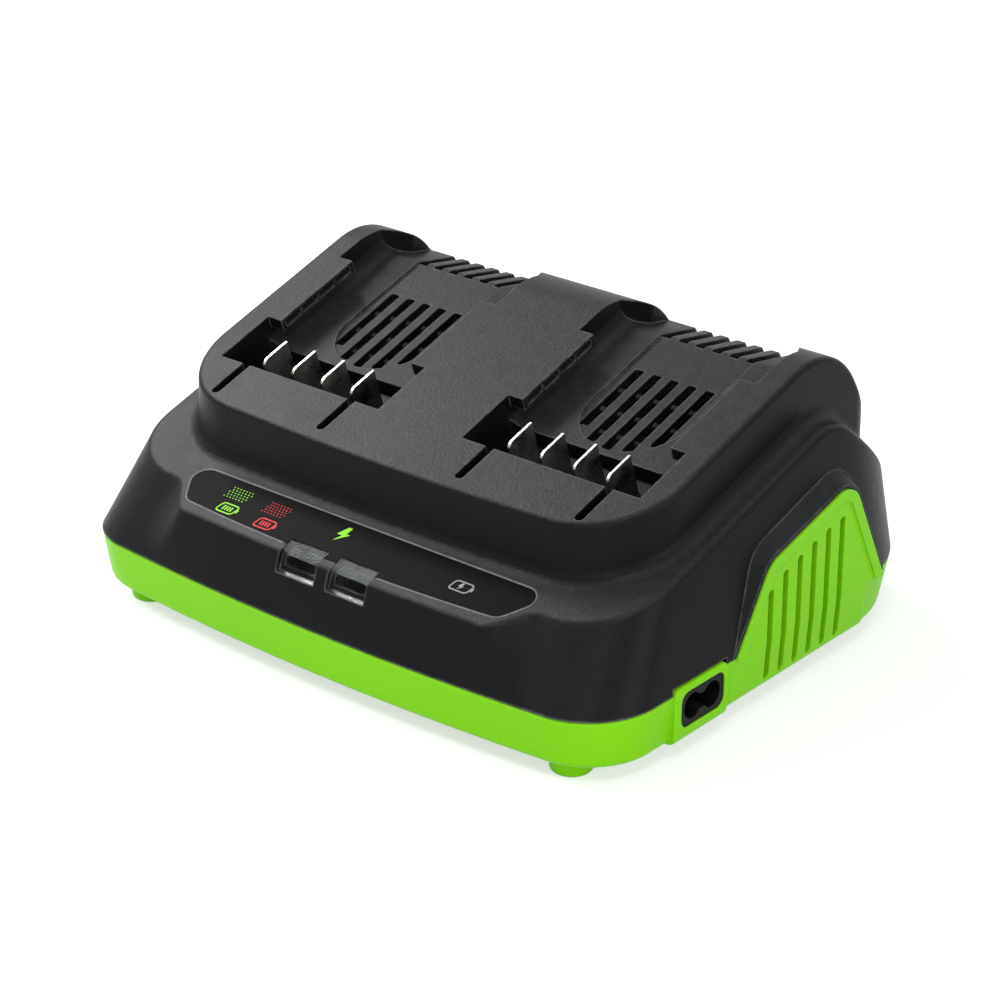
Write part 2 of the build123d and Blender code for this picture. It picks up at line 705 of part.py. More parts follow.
def bay_wall_profile(bay_x):
    """Side view of the material that must stay under a bay to form its floor and walls."""
    crease = crease_point(BAY_FLOOR - VENT_FIELD_DEPTH - WALL, WALL)
    with BuildSketch(Plane.YZ.offset(bay_x)) as side:
        with BuildLine():
            Polyline(
                deck_point(BAY_FRONT - WALL, BAY_FLOOR - VENT_FIELD_DEPTH - WALL), crease, facet_end(crease),
                (BAY_END_Y, DECK_HIGH_Z + CUT_HEIGHT), deck_point(BAY_FRONT - WALL, CUT_HEIGHT),
                deck_point(BAY_FRONT - WALL, BAY_FLOOR - VENT_FIELD_DEPTH - WALL),
            )
        make_face()
    return side.sketch


def deck_rectangle(plane, half_x, front, rear, corner):
    """Rectangle on a deck plane between two distances along the slope."""
    with BuildSketch(plane) as plan:
        with Locations((0, (front + rear) / 2)):
            if corner > 0:
                RectangleRounded(2 * half_x, rear - front, corner)
            else:
                Rectangle(2 * half_x, rear - front)
    return plan.sketch


def guide_slots(plane, growth):
    """The two narrow slots that run forward from a bay, grown all round."""
    with BuildSketch(plane) as plan:
        length = BAY_FRONT - GUIDE_SLOT_FRONT + GUIDE_SLOT_WIDTH
        middle = (BAY_FRONT + GUIDE_SLOT_FRONT) / 2
        with Locations((-GUIDE_SLOT_X, middle), (GUIDE_SLOT_X, middle)):
            SlotOverall(length + 2 * growth, GUIDE_SLOT_WIDTH + 2 * growth, rotation=90)
    return plan.sketch


def vent_field(plane):
    """Shallow field with a round front that holds the vent slots."""
    with BuildSketch(plane) as plan:
        with Locations((0, VENT_FIELD_CENTRE)):
            Circle(VENT_FIELD_HALF_X)
        with Locations((0, VENT_FIELD_CENTRE)):
            Rectangle(2 * VENT_FIELD_HALF_X, 2 * BAY_CREASE_Y, align=(Align.CENTER, Align.MIN))
    return plan.sketch


def vent_slots(plane, bars):
    """Slots side by side whose fronts follow the round field; bars leaves cross bars out of the cut."""
    reach = VENT_FIELD_HALF_X - VENT_MARGIN
    with BuildSketch(plane) as plan:
        for index in range(VENT_COUNT):
            offset = (index - (VENT_COUNT - 1) / 2) * VENT_PITCH
            front = VENT_FIELD_CENTRE - sqrt(reach ** 2 - offset ** 2)
            with Locations((offset, (front + VENT_REAR) / 2)):
                RectangleRounded(VENT_WIDTH, VENT_REAR - front, VENT_CORNER)
        if bars:
            middle = (VENT_FIELD_CENTRE - VENT_FIELD_HALF_X + VENT_REAR) / 2
            with Locations((0, middle)):
                with GridLocations(0, VENT_BAR_PITCH, 1, VENT_BAR_COUNT):
                    Rectangle(2 * VENT_FIELD_HALF_X, VENT_BAR_WIDTH, mode=Mode.SUBTRACT)
    return plan.sketch


def bay_rear_corners(bay_x):
    """Plan of the material at both sides of a bay's rear, where its walls turn inward."""
    with BuildSketch(Plane.XY.offset(LOUVRE_LOW_Z)) as plan:
        for side in (-1, 1):
            wall_x = bay_x + side * BAY_HALF_X
            rear_x = bay_x + side * BAY_REAR_HALF_X
            outer_x = wall_x + side * PAST
            with BuildLine():
                Polyline(
                    (wall_x, BAY_CREASE_Y), (rear_x, BAY_REAR_TURN_Y), (rear_x, BAY_END_Y + PAST),
                    (outer_x, BAY_END_Y + PAST), (outer_x, BAY_CREASE_Y), (wall_x, BAY_CREASE_Y),
                )
            make_face()
    return plan.sketch


def rail_cells(bay_x, side):
    """The row of small pockets that cores the inner face of one rail."""
    run = RAIL_REAR - RAIL_FRONT - 2 * RAIL_CELL_END
    pitch = (run + RAIL_CELL_WEB) / RAIL_CELLS
    with BuildSketch(deck_plane(bay_x, RAIL_CELL_LOW)) as plan:
        with Locations((side * RAIL_HALF_GAP, (RAIL_FRONT + RAIL_REAR) / 2)):
            with GridLocations(0, pitch, 1, RAIL_CELLS):
                Rectangle(2 * RAIL_CELL_DEPTH, pitch - RAIL_CELL_WEB)
    return plan.sketch


def louvre_gaps(bay_x):
    """Plan of the gaps that open the rear of a bay between its louvre bars."""
    with BuildSketch(Plane.XY.offset(LOUVRE_LOW_Z)) as plan:
        with Locations((bay_x, (LOUVRE_FRONT_Y + BAY_END_Y) / 2)):
            with GridLocations(LOUVRE_PITCH, 0, LOUVRE_COUNT, 1):
                Rectangle(LOUVRE_GAP, BAY_END_Y - LOUVRE_FRONT_Y)
    return plan.sketch


with BuildPart() as bay_walls:
    for bay_x in BAY_XS:
        extrude(to_extrude=bay_wall_profile(bay_x), amount=BAY_HALF_X + WALL, both=True)
        trough_wall = deck_rectangle(
            deck_plane(bay_x, TROUGH_FLOOR - WALL), BAY_HALF_X + WALL, BAY_FRONT - WALL, TROUGH_REAR + WALL, 0
        )
        extrude(to_extrude=trough_wall, amount=WALL - TROUGH_FLOOR)
        slot_walls = guide_slots(deck_plane(bay_x, GUIDE_SLOT_FLOOR - WALL), WALL)
        extrude(to_extrude=slot_walls, amount=WALL - GUIDE_SLOT_FLOOR)

with BuildPart() as bay_cuts:
    for bay_x in BAY_XS:
        extrude(to_extrude=bay_cut_profile(bay_x), amount=BAY_HALF_X, both=True)
    floor_edges = bay_cuts.edges().filter_by(is_bay_floor_edge)
    fillet(floor_edges, BAY_COVE_RADIUS)
    for bay_x in BAY_XS:
        extrude(to_extrude=bay_rear_corners(bay_x), amount=3 * CUT_HEIGHT, mode=Mode.SUBTRACT)
        channel = deck_rectangle(
            deck_plane(bay_x, -RAIL_THICK - PAST), RAIL_HALF_GAP, RAIL_FRONT - PAST, RAIL_REAR + PAST, 0
        )
        extrude(to_extrude=channel, amount=CUT_HEIGHT)
        trough = deck_rectangle(
            deck_plane(bay_x, TROUGH_FLOOR), BAY_HALF_X, BAY_FRONT, TROUGH_REAR, TROUGH_CORNER
        )
        extrude(to_extrude=trough, amount=-TROUGH_FLOOR)
        extrude(to_extrude=guide_slots(deck_plane(bay_x, GUIDE_SLOT_FLOOR), 0), amount=CUT_HEIGHT)
        vent_top = deck_plane(bay_x, BAY_FLOOR - VENT_FIELD_DEPTH)
        extrude(to_extrude=vent_field(vent_top), amount=VENT_FIELD_DEPTH + PAST)
        extrude(to_extrude=vent_slots(vent_top, False), amount=-VENT_BAR_DROP)
        extrude(to_extrude=vent_slots(vent_top, True), amount=-2 * WALL)
        for side in (-1, 1):
            extrude(to_extrude=rail_cells(bay_x, side), amount=RAIL_CELL_TOP - RAIL_CELL_LOW)
        extrude(to_extrude=louvre_gaps(bay_x), amount=CUT_HEIGHT)

# ---------------------------------------------------------------- hollow inside of the top shell


with BuildPart() as deck_cavity:
    loft(sections=[deck_outline(DECK_LOW_Z, WALL), deck_outline(DECK_HIGH_Z, WALL)], ruled=True)
    extrude(to_extrude=deck_arch(WALL), amount=SPLIT_HALF_X * 2, both=True, mode=Mode.INTERSECT)

with BuildPart() as skirt_cavity:
    loft(sections=skirt_outlines(CAVITY_LOW_Z, WALL), ruled=True)
    extrude(to_extrude=ledge_arch(WALL), amount=SPLIT_HALF_X * 2, both=True, mode=Mode.INTERSECT)

with BuildPart() as bay_supports:
    loft(sections=[deck_outline(DECK_LOW_Z, WALL / 2), deck_outline(DECK_HIGH_Z, WALL / 2)], ruled=True)
    extrude(to_extrude=deck_arch(WALL / 2), amount=SPLIT_HALF_X * 2, both=True, mode=Mode.INTERSECT)
    add(bay_walls.part, mode=Mode.INTERSECT)

# ---------------------------------------------------------------- hoods over the end humps

with BuildPart() as hump_hoods:
    for side in (-1, 1):
        lip = hump_outline(side * HUMP_HOOD_X, HUMP_HOOD_LIP, TOP_LOW_Z, TOP_LOW_Z - PAST)
        root_x = side * (HUMP_HOOD_X - HUMP_HOOD_DEPTH)
        root = hump_outline(root_x, HUMP_HOOD_SPREAD, TOP_LOW_Z, TOP_LOW_Z - PAST)
        loft(sections=[lip, root], ruled=True)
    split(bisect_by=Plane.XY.offset(TOP_LOW_Z), keep=Keep.TOP)

with BuildPart() as hump_windows:
    for side in (-1, 1):
        window = hump_outline(side * (HUMP_FACE_X + PAST), SHELL_GAP, SPLIT_Z, CAVITY_LOW_Z)
        extrude(to_extrude=window, amount=side * -HUMP_HOOD_DEPTH)

# ---------------------------------------------------------------- panel and light windows on the front ledge

def panel_outline(height, growth):
    """Outline of the front panel on the ledge, grown all round."""
    front = PANEL_FRONT - growth
    rear = PANEL_REAR + growth
    front_x = PANEL_FRONT_HALF_X + growth
    rear_x = PANEL_REAR_HALF_X + growth
    front_end = front + PANEL_BOW
    with BuildSketch(ledge_plane(height)) as plan:
        with BuildLine():
            ThreePointArc((-front_x, front_end), (0, front), (front_x, front_end))
            Polyline((front_x, front_end), (rear_x, rear), (-rear_x, rear), (-front_x, front_end))
        make_face()
        fillet(plan.vertices(), PANEL_CORNER + growth)
    return plan.sketch


def ledge_point(y, drop):
    """Side-view point on the ledge's slope at a Y, lowered square to it."""
    return (y + drop * SLOPE_SIN, LEDGE_Z + y * SLOPE_TAN - drop * SLOPE_COS)


def skirt_front_y(z):
    """Y of the skirt's front face at the middle, at a height."""
    return FRONT_Y + (z - SPLIT_Z) / (CHIN_TOP_Z - SPLIT_Z) * (CHIN_TOP_Y - FRONT_Y)


def lens_profile(x, growth, thick, rise):
    """Side view of a light window that bends from the ledge over the crease and down the front."""
    crease = meet(ledge_point(0, 0), DECK_SLOPE, (skirt_front_y(SPLIT_Z), SPLIT_Z), SKIRT_FRONT_ANGLE)
    inner_skirt = moved_out((skirt_front_y(SPLIT_Z), SPLIT_Z), SKIRT_FRONT_ANGLE, -thick)
    inner = meet(ledge_point(0, thick), DECK_SLOPE, inner_skirt, SKIRT_FRONT_ANGLE)
    outer_low = meet(inner_skirt, SKIRT_FRONT_ANGLE, (0, LENS_LOW_Z - growth), 0)
    face_low = meet((skirt_front_y(SPLIT_Z) - rise, SPLIT_Z), SKIRT_FRONT_ANGLE, (0, LENS_LOW_Z - growth), 0)
    top = ledge_point(LENS_REAR_Y + growth, -rise)
    with BuildSketch(Plane.YZ.offset(x)) as side:
        with BuildLine():
            Polyline(
                top, (crease[0] - rise, crease[1] + rise * SLOPE_COS), face_low, outer_low, inner,
                ledge_point(LENS_REAR_Y + growth, thick), top,
            )
        make_face()
        if rise == 0:
            fillet(side.vertices().sort_by_distance(crease)[:1], LENS_CORNER)
    return side.sketch


with BuildPart() as panel_seat:
    extrude(to_extrude=panel_outline(-PANEL_THICK, PANEL_FIT), amount=2 * PANEL_THICK)

with BuildPart() as lens_seats:
    for lens_x in LENS_XS:
        seat = lens_profile(lens_x, LENS_FIT, LENS_THICK + LENS_FIT, LENS_SEAT_RUN)
        extrude(to_extrude=seat, amount=LENS_HALF_X + LENS_FIT, both=True)
        well = lens_profile(lens_x, -LIGHT_WELL_INSET, WALL + PAST, LIGHT_WELL_RUN)
        extrude(to_extrude=well, amount=LIGHT_WELL_HALF_X, both=True)

with BuildPart() as screw_posts:
    for point, top_z in zip(FOOT_POINTS, POST_TOP_ZS):
        with Locations((*point, FOOT_BOSS_TOP_Z + SHELL_GAP)):
            Cylinder(POST_RADIUS, top_z - FOOT_BOSS_TOP_Z, align=(Align.CENTER, Align.CENTER, Align.MIN))

with BuildPart() as light_posts:
    for post_x in LIGHT_POST_XS:
        with BuildSketch(ledge_plane(-WALL / 2)):
            with Locations((post_x, LIGHT_POST_ALONG)):
                Circle(LIGHT_POST_RADIUS)
        extrude(amount=LIGHT_BOARD_TOP + WALL / 2)
        with BuildSketch(ledge_plane(LIGHT_BOARD_TOP)):
            with Locations((post_x, LIGHT_POST_ALONG)):
                Circle(LIGHT_PEG_RADIUS)
        extrude(amount=-2 * LIGHT_BOARD_THICK)

with BuildPart() as tail_slits:
    for bay_x in BAY_XS:
        for blade_x in BLADE_XS:
            with BuildSketch(deck_plane(bay_x + blade_x, TROUGH_FLOOR)):
                with Locations((0, (TAIL_FRONT + TAIL_REAR) / 2)):
                    Rectangle(BLADE_THICK + 2 * TAIL_SLIT, TAIL_REAR - TAIL_FRONT + 2 * TAIL_SLIT)
            extrude(amount=-2 * WALL)

with BuildPart() as top_shell:
    add(tiers.part)
    add(hump_hoods.part)
    add(skirt_cavity.part, mode=Mode.SUBTRACT)
    add(deck_cavity.part, mode=Mode.SUBTRACT)
    add(bay_supports.part)
    add(screw_posts.part)
    add(light_posts.part)
    add(bay_cuts.part, mode=Mode.SUBTRACT)
    add(tail_slits.part, mode=Mode.SUBTRACT)
    add(hump_windows.part, mode=Mode.SUBTRACT)
    add(panel_seat.part, mode=Mode.SUBTRACT)
    add(lens_seats.part, mode=Mode.SUBTRACT)
    with Locations((INLET_FACE_X, (PAD_FRONT_Y + PAD_REAR_Y) / 2, CAVITY_LOW_Z)):
        Box(
            INLET_DEPTH, PAD_REAR_Y - PAD_FRONT_Y + 2 * SHELL_GAP, PAD_TOP_Z + SHELL_GAP - CAVITY_LOW_Z,
            align=(Align.CENTER, Align.CENTER, Align.MIN), mode=Mode.SUBTRACT,
        )
    with Locations(FOOT_POINTS):
        with Locations((0, 0, FOOT_BOSS_TOP_Z)):
            Cylinder(
                POST_PILOT_RADIUS, POST_PILOT_TOP_Z - FOOT_BOSS_TOP_Z,
                align=(Align.CENTER, Align.CENTER, Align.MIN), mode=Mode.SUBTRACT,
            )
top_shell.part.label = "top_shell"
export_step(top_shell.part, "parts/top_shell.step")

with BuildPart() as status_panel:
    extrude(to_extrude=panel_outline(-PANEL_THICK, 0), amount=PANEL_THICK)
    for lens_x in LENS_XS:
        with Locations((lens_x, LENS_REAR_Y + LENS_FIT + PANEL_FIT, LENS_LOW_Z)):
            Box(
                2 * (LENS_HALF_X + LENS_FIT), CUT_HEIGHT, CUT_HEIGHT,
                align=(Align.CENTER, Align.MAX, Align.MIN), mode=Mode.SUBTRACT,
            )
status_panel.part.label = "status_panel"
export_step(status_panel.part, "parts/status_panel.step")


def make_lens(lens_x):
    """Light window bent over the front crease, with a small dimple in its top."""
    with BuildPart() as lens:
        extrude(to_extrude=lens_profile(lens_x, 0, LENS_THICK, 0), amount=LENS_HALF_X, both=True)
        with BuildSketch(ledge_plane(-LENS_DIMPLE_DEPTH)):
            with Locations((lens_x, (LENS_REAR_Y - LENS_CORNER) / SLOPE_COS)):
                Circle(LENS_DIMPLE_RADIUS)
        extrude(amount=2 * LENS_DIMPLE_DEPTH, mode=Mode.SUBTRACT)
    return lens.part


left_lens = make_lens(LENS_XS[0])
left_lens.label = "left_lens"
export_step(left_lens, "parts/left_lens.step")

right_lens = make_lens(LENS_XS[1])
right_lens.label = "right_lens"
export_step(right_lens, "parts/right_lens.step")

# ---------------------------------------------------------------- base shell


def pad_outline(x, growth):
    """Side view of the pad round the inlet on the plane at x."""
    with BuildSketch(Plane.YZ.offset(x)) as side:
        with Locations(((PAD_FRONT_Y + PAD_REAR_Y) / 2, (BASE_Z + PAD_TOP_Z) / 2)):
            Rectangle(PAD_REAR_Y - PAD_FRONT_Y + 2 * growth, PAD_TOP_Z - BASE_Z + 2 * growth)
        fillet(side.vertices().group_by(Axis.Y)[-1], PAD_CORNER)
    return side.sketch


def inlet_outline(x, growth):
    """Side view of the inlet's opening: a rectangle with generous corners."""
    with BuildSketch(Plane.YZ.offset(x)) as side:
        with Locations((INLET_Y, INLET_Z)):
            RectangleRounded(INLET_WIDTH + 2 * growth, INLET_HEIGHT + 2 * growth, INLET_CORNER + growth)
    return side.sketch


def hump_block(side, z, outer_x):
    """Plan of the lower part of an end hump at a height."""
    with BuildSketch(Plane.XY.offset(z)) as plan:
        with Locations((side * (outer_x + HUMP_ROOT_X) / 2, (HUMP_FRONT_Y + HUMP_REAR_Y) / 2)):
            Rectangle(outer_x - HUMP_ROOT_X, HUMP_REAR_Y - HUMP_FRONT_Y)
    return plan.sketch


with BuildPart() as base_tray:
    loft(
        sections=[
            base_outline(BASE_Z, 0),
            base_outline(BASE_TOP_Z - BASE_RIM_BEVEL, 0),
            base_outline(BASE_TOP_Z, BASE_RIM_BEVEL),
        ],
        ruled=True,
    )
    fillet(base_tray.edges().group_by(Axis.Z)[0], BASE_EDGE_RADIUS)

with BuildPart() as base_hollow:
    loft(sections=[base_outline(BASE_INSIDE_Z, WALL), base_outline(BASE_TOP_Z + PAST, WALL)], ruled=True)

with BuildPart() as base_lip:
    loft(
        sections=[
            base_outline(LIP_LOW_Z, LIP_ROOT_INSET),
            split_outline(BASE_TOP_Z, LIP_INSET),
            split_outline(LIP_TOP_Z, LIP_INSET + LIP_LEAN),
        ],
        ruled=True,
    )
    loft(
        sections=[
            base_outline(LIP_LOW_Z - SHELL_GAP, LIP_INSET + LIP_THICK),
            split_outline(BASE_TOP_Z, LIP_INSET + LIP_THICK),
            split_outline(LIP_TOP_Z + SHELL_GAP, LIP_INSET + LIP_LEAN + LIP_THICK),
        ],
        ruled=True, mode=Mode.SUBTRACT,
    )

with BuildPart() as end_humps:
    for side in (-1, 1):
        foot = hump_block(side, BASE_Z, HUMP_LOW_X)
        loft(sections=[foot, hump_block(side, BASE_TOP_Z, HUMP_FIELD_X)], ruled=True)
    fillet(end_humps.edges().filter_by(is_outer_end_edge), HUMP_SIDE_RADIUS)
    fillet(end_humps.edges().filter_by(is_outer_low_edge), HUMP_EDGE_RADIUS)
    for side in (-1, 1):
        crest = hump_outline(side * HUMP_FACE_X, 0, BASE_TOP_Z, BASE_TOP_Z - PAST)
        extrude(to_extrude=crest, amount=side * (HUMP_BACK_X - HUMP_FACE_X))

with BuildPart() as inlet_pad:
    extrude(to_extrude=pad_outline(HUMP_FACE_X, 0), amount=PAD_ROOT_X - HUMP_FACE_X)
    fillet(inlet_pad.edges().filter_by(is_outer_low_edge), HUMP_EDGE_RADIUS)
    fillet(inlet_pad.edges().filter_by(Axis.Z).group_by(Axis.X)[-1], PAD_EDGE_RADIUS)

with BuildPart() as hump_fields:
    for side in (-1, 1):
        field = hump_outline(side * HUMP_FIELD_X, -HUMP_RIM, SPLIT_Z, SPLIT_Z - HUMP_FIELD_RUN)
        extrude(to_extrude=field, amount=side * HUMP_RIM)

with BuildPart() as air_slots:
    for side in (-1, 1):
        for index, top_z in enumerate(AIR_SLOT_TOPS):
            height = top_z - AIR_SLOT_LOW_Z
            slot_y = AIR_SLOT_FIRST_Y + index * AIR_SLOT_PITCH
            with BuildSketch(Plane.YZ.offset(side * (HUMP_FACE_X + PAST))):
                with Locations((slot_y, AIR_SLOT_LOW_Z + height / 2)):
                    SlotOverall(height, AIR_SLOT_WIDTH, rotation=90)
            extrude(amount=-side * AIR_SLOT_DEPTH)

with BuildPart() as feet:
    with Locations(FOOT_POINTS):
        Cone(
            FOOT_RADIUS - FOOT_TAPER, FOOT_RADIUS, BASE_INSIDE_Z,
            align=(Align.CENTER, Align.CENTER, Align.MIN),
        )
    fillet(feet.edges().filter_by(GeomType.CIRCLE).group_by(Axis.Z)[0], FOOT_EDGE_RADIUS)

with BuildPart() as base_shell:
    add(base_tray.part)
    add(end_humps.part)
    add(inlet_pad.part)
    add(feet.part)
    add(base_hollow.part, mode=Mode.SUBTRACT)
    add(base_lip.part)
    with Locations(FOOT_POINTS):
        with Locations((0, 0, BASE_INSIDE_Z - PAST)):
            Cylinder(
                FOOT_BOSS_RADIUS, FOOT_BOSS_TOP_Z - BASE_INSIDE_Z + PAST,
                align=(Align.CENTER, Align.CENTER, Align.MIN),
            )
    with Locations(BOARD_POSTS):
        with Locations((0, 0, BASE_INSIDE_Z - PAST)):
            Cylinder(
                BOARD_POST_RADIUS, BOARD_Z - BASE_INSIDE_Z + PAST,
                align=(Align.CENTER, Align.CENTER, Align.MIN),
            )
    for side in (-1, 1):
        cradle_y = FAN_Y + side * (FAN_SIZE / 2 + FAN_CRADLE / 2 - FAN_CRADLE_GRIP)
        with Locations((FAN_X, cradle_y, BASE_INSIDE_Z - PAST)):
            Box(
                FAN_DEPTH + 2 * FAN_CRADLE_WALL, FAN_CRADLE, FAN_CRADLE_HEIGHT,
                align=(Align.CENTER, Align.CENTER, Align.MIN),
            )
    with Locations((FAN_X, FAN_Y, FAN_Z)):
        Box(
            FAN_DEPTH + 2 * FAN_FIT, FAN_SIZE + 2 * FAN_FIT, FAN_SIZE + 2 * FAN_FIT,
            mode=Mode.SUBTRACT,
        )
    add(hump_fields.part, mode=Mode.SUBTRACT)
    add(air_slots.part, mode=Mode.SUBTRACT)
    extrude(
        to_extrude=inlet_outline(HUMP_FACE_X + PAST, INLET_FIT), amount=-INLET_OPENING_DEPTH,
        mode=Mode.SUBTRACT,
    )
    with Locations(FOOT_POINTS):
        Cylinder(
            FOOT_WELL_RADIUS, FOOT_WELL_TOP_Z, align=(Align.CENTER, Align.CENTER, Align.MIN),
            mode=Mode.SUBTRACT,
        )
        Cylinder(
            SCREW_HOLE_RADIUS, SPLIT_Z + LIP_TOP_Z, align=(Align.CENTER, Align.CENTER, Align.MIN),
            mode=Mode.SUBTRACT,
        )
    with Locations(BOARD_POSTS):
        with Locations((0, 0, BOARD_PILOT_Z)):
            Cylinder(
                BOARD_PILOT_RADIUS, BOARD_Z, align=(Align.CENTER, Align.CENTER, Align.MIN),
                mode=Mode.SUBTRACT,
            )
base_shell.part.label = "base_shell"
export_step(base_shell.part, "parts/base_shell.step")

# ---------------------------------------------------------------- contacts in the bays


def make_blades(bay_x):
    """Four flat contacts that stand square to the deck, each with a narrow tail below."""
    with BuildPart() as blades:
        for blade_x in BLADE_XS:
            with BuildSketch(Plane.YZ.offset(bay_x + blade_x)) as side:
                with BuildLine():
                    Polyline(
                        deck_point(BLADE_FRONT, BLADE_TOP), deck_point(BLADE_REAR, BLADE_TOP),
                        deck_point(BLADE_REAR, BLADE_FOOT), deck_point(TAIL_REAR, BLADE_FOOT),
                        deck_point(TAIL_REAR, TAIL_LOW), deck_point(TAIL_FRONT, TAIL_LOW),
                        deck_point(TAIL_FRONT, BLADE_FOOT), deck_point(BLADE_FRONT, BLADE_FOOT),
                        deck_point(BLADE_FRONT, BLADE_TOP),
                    )
                make_face()
                fillet(side.vertices().sort_by_distance(deck_point(BLADE_FRONT, BLADE_TOP))[:1], BLADE_CORNER)
            extrude(amount=BLADE_THICK / 2, both=True)
    return blades.part


def make_carrier(bay_x):
    """Block in the bottom of the trough that holds the four contacts."""
    with BuildPart() as carrier:
        low = TROUGH_FLOOR + CARRIER_GAP
        block = deck_rectangle(
            deck_plane(bay_x, low), CARRIER_HALF_X, CARRIER_FRONT, CARRIER_REAR, CARRIER_CORNER
        )
        extrude(to_extrude=block, amount=CARRIER_TOP - low)
        top_face = carrier.faces().sort_by(Axis.Z)[-1]
        fillet(top_face.edges(), CARRIER_EDGE_RADIUS)
        for blade_x in BLADE_XS:
            plane = deck_plane(bay_x + blade_x, BLADE_FOOT - CARRIER_GAP)
            slot = deck_rectangle(
                plane, BLADE_THICK / 2 + CARRIER_GAP, BLADE_FRONT - CARRIER_GAP, BLADE_REAR + CARRIER_GAP, 0
            )
            extrude(to_extrude=slot, amount=-BLADE_FOOT, mode=Mode.SUBTRACT)
            tail = deck_rectangle(
                plane, BLADE_THICK / 2 + CARRIER_GAP, TAIL_FRONT - CARRIER_GAP, TAIL_REAR + CARRIER_GAP, 0
            )
            extrude(to_extrude=tail, amount=BLADE_FOOT, mode=Mode.SUBTRACT)
    return carrier.part


def make_leads(bay_x):
    """Straight leads from the contact tails down to the main board."""
    low_z = BOARD_Z + BOARD_THICK + SEAT_GAP
    with BuildPart() as leads:
        for blade_x in BLADE_XS:
            with Locations((bay_x + blade_x, LEAD_Y, low_z)):
                Cylinder(LEAD_RADIUS, LEAD_TOP_Z - low_z, align=(Align.CENTER, Align.CENTER, Align.MIN))
    return leads.part


left_blades = make_blades(BAY_XS[0])
left_blades.label = "left_blades"
export_step(left_blades, "parts/left_blades.step")

right_blades = make_blades(BAY_XS[1])
right_blades.label = "right_blades"
export_step(right_blades, "parts/right_blades.step")

left_contact_block = make_carrier(BAY_XS[0])
left_contact_block.label = "left_contact_block"
export_step(left_contact_block, "parts/left_contact_block.step")

right_contact_block = make_carrier(BAY_XS[1])
right_contact_block.label = "right_contact_block"
export_step(right_contact_block, "parts/right_contact_block.step")

left_leads = make_leads(BAY_XS[0])
left_leads.label = "left_leads"
export_step(left_leads, "parts/left_leads.step")

right_leads = make_leads(BAY_XS[1])
right_leads.label = "right_leads"
export_step(right_leads, "parts/right_leads.step")

# ---------------------------------------------------------------- mains inlet

with BuildPart() as inlet_body:
    extrude(to_extrude=inlet_outline(INLET_FACE_X, 0), amount=-INLET_DEPTH)
    extrude(to_extrude=inlet_outline(INLET_COLLAR_X, INLET_FLANGE), amount=-INLET_FLANGE)
    with BuildSketch(Plane.YZ.offset(INLET_FACE_X)):
        with Locations((INLET_Y - PIN_PITCH / 2, INLET_Z), (INLET_Y + PIN_PITCH / 2, INLET_Z)):
            Circle(INLET_LOBE_RADIUS)
        with Locations((INLET_Y, INLET_Z)):
            Rectangle(PIN_PITCH, INLET_WAIST)
    extrude(amount=-INLET_CAVITY_DEPTH, mode=Mode.SUBTRACT)
    with BuildSketch(Plane.YZ.offset(INLET_FACE_X)):
        with Locations((INLET_Y - PIN_PITCH / 2, INLET_Z), (INLET_Y + PIN_PITCH / 2, INLET_Z)):
            Circle(PIN_RADIUS + CARRIER_GAP)
    extrude(amount=-2 * INLET_DEPTH, mode=Mode.SUBTRACT)
inlet_body.part.label = "inlet_body"
export_step(inlet_body.part, "parts/inlet_body.step")

with BuildPart() as inlet_pins:
    pin_tip_x = INLET_FACE_X - INLET_CAVITY_DEPTH + PIN_LENGTH
    pin_run = PIN_LENGTH + INLET_DEPTH - INLET_CAVITY_DEPTH + PIN_TAIL
    with BuildSketch(Plane.YZ.offset(pin_tip_x)):
        with Locations((INLET_Y - PIN_PITCH / 2, INLET_Z), (INLET_Y + PIN_PITCH / 2, INLET_Z)):
            Circle(PIN_RADIUS)
    extrude(amount=-pin_run)
    fillet(inlet_pins.faces().sort_by(Axis.X)[-2:].edges(), PIN_RADIUS * 2 / 3)
inlet_pins.part.label = "inlet_pins"
export_step(inlet_pins.part, "parts/inlet_pins.step")

# ---------------------------------------------------------------- screws

with BuildPart() as case_screws:
    with Locations(FOOT_POINTS):
        with Locations((0, 0, FOOT_WELL_TOP_Z)):
            Cylinder(SCREW_HEAD_RADIUS, SCREW_HEAD_HEIGHT, align=(Align.CENTER, Align.CENTER, Align.MAX))
            Cylinder(SCREW_RADIUS, SCREW_LENGTH, align=(Align.CENTER, Align.CENTER, Align.MIN))
case_screws.part.label = "case_screws"
export_step(case_screws.part, "parts/case_screws.step")

with BuildPart() as board_screws:
    with Locations(BOARD_POSTS):
        with Locations((0, 0, BOARD_Z + BOARD_THICK)):
            Cylinder(
                BOARD_SCREW_HEAD_RADIUS, BOARD_SCREW_HEAD, align=(Align.CENTER, Align.CENTER, Align.MIN)
            )
            Cylinder(
                BOARD_SCREW_RADIUS, BOARD_SCREW_LENGTH, align=(Align.CENTER, Align.CENTER, Align.MAX)
            )
board_screws.part.label = "board_screws"
export_step(board_screws.part, "parts/board_screws.step")

# ---------------------------------------------------------------- boards and lights

with BuildPart() as main_board:
    with BuildSketch(Plane.XY.offset(BOARD_Z)):
        with Locations((0, (BOARD_FRONT_Y + BOARD_REAR_Y) / 2)):
            RectangleRounded(BOARD_LENGTH, BOARD_REAR_Y - BOARD_FRONT_Y, BOARD_CORNER)
        with Locations(BOARD_POSTS):
            Circle(BOARD_HOLE_RADIUS, mode=Mode.SUBTRACT)
    extrude(amount=BOARD_THICK)
main_board.part.label = "main_board"
export_step(main_board.part, "parts/main_board.step")

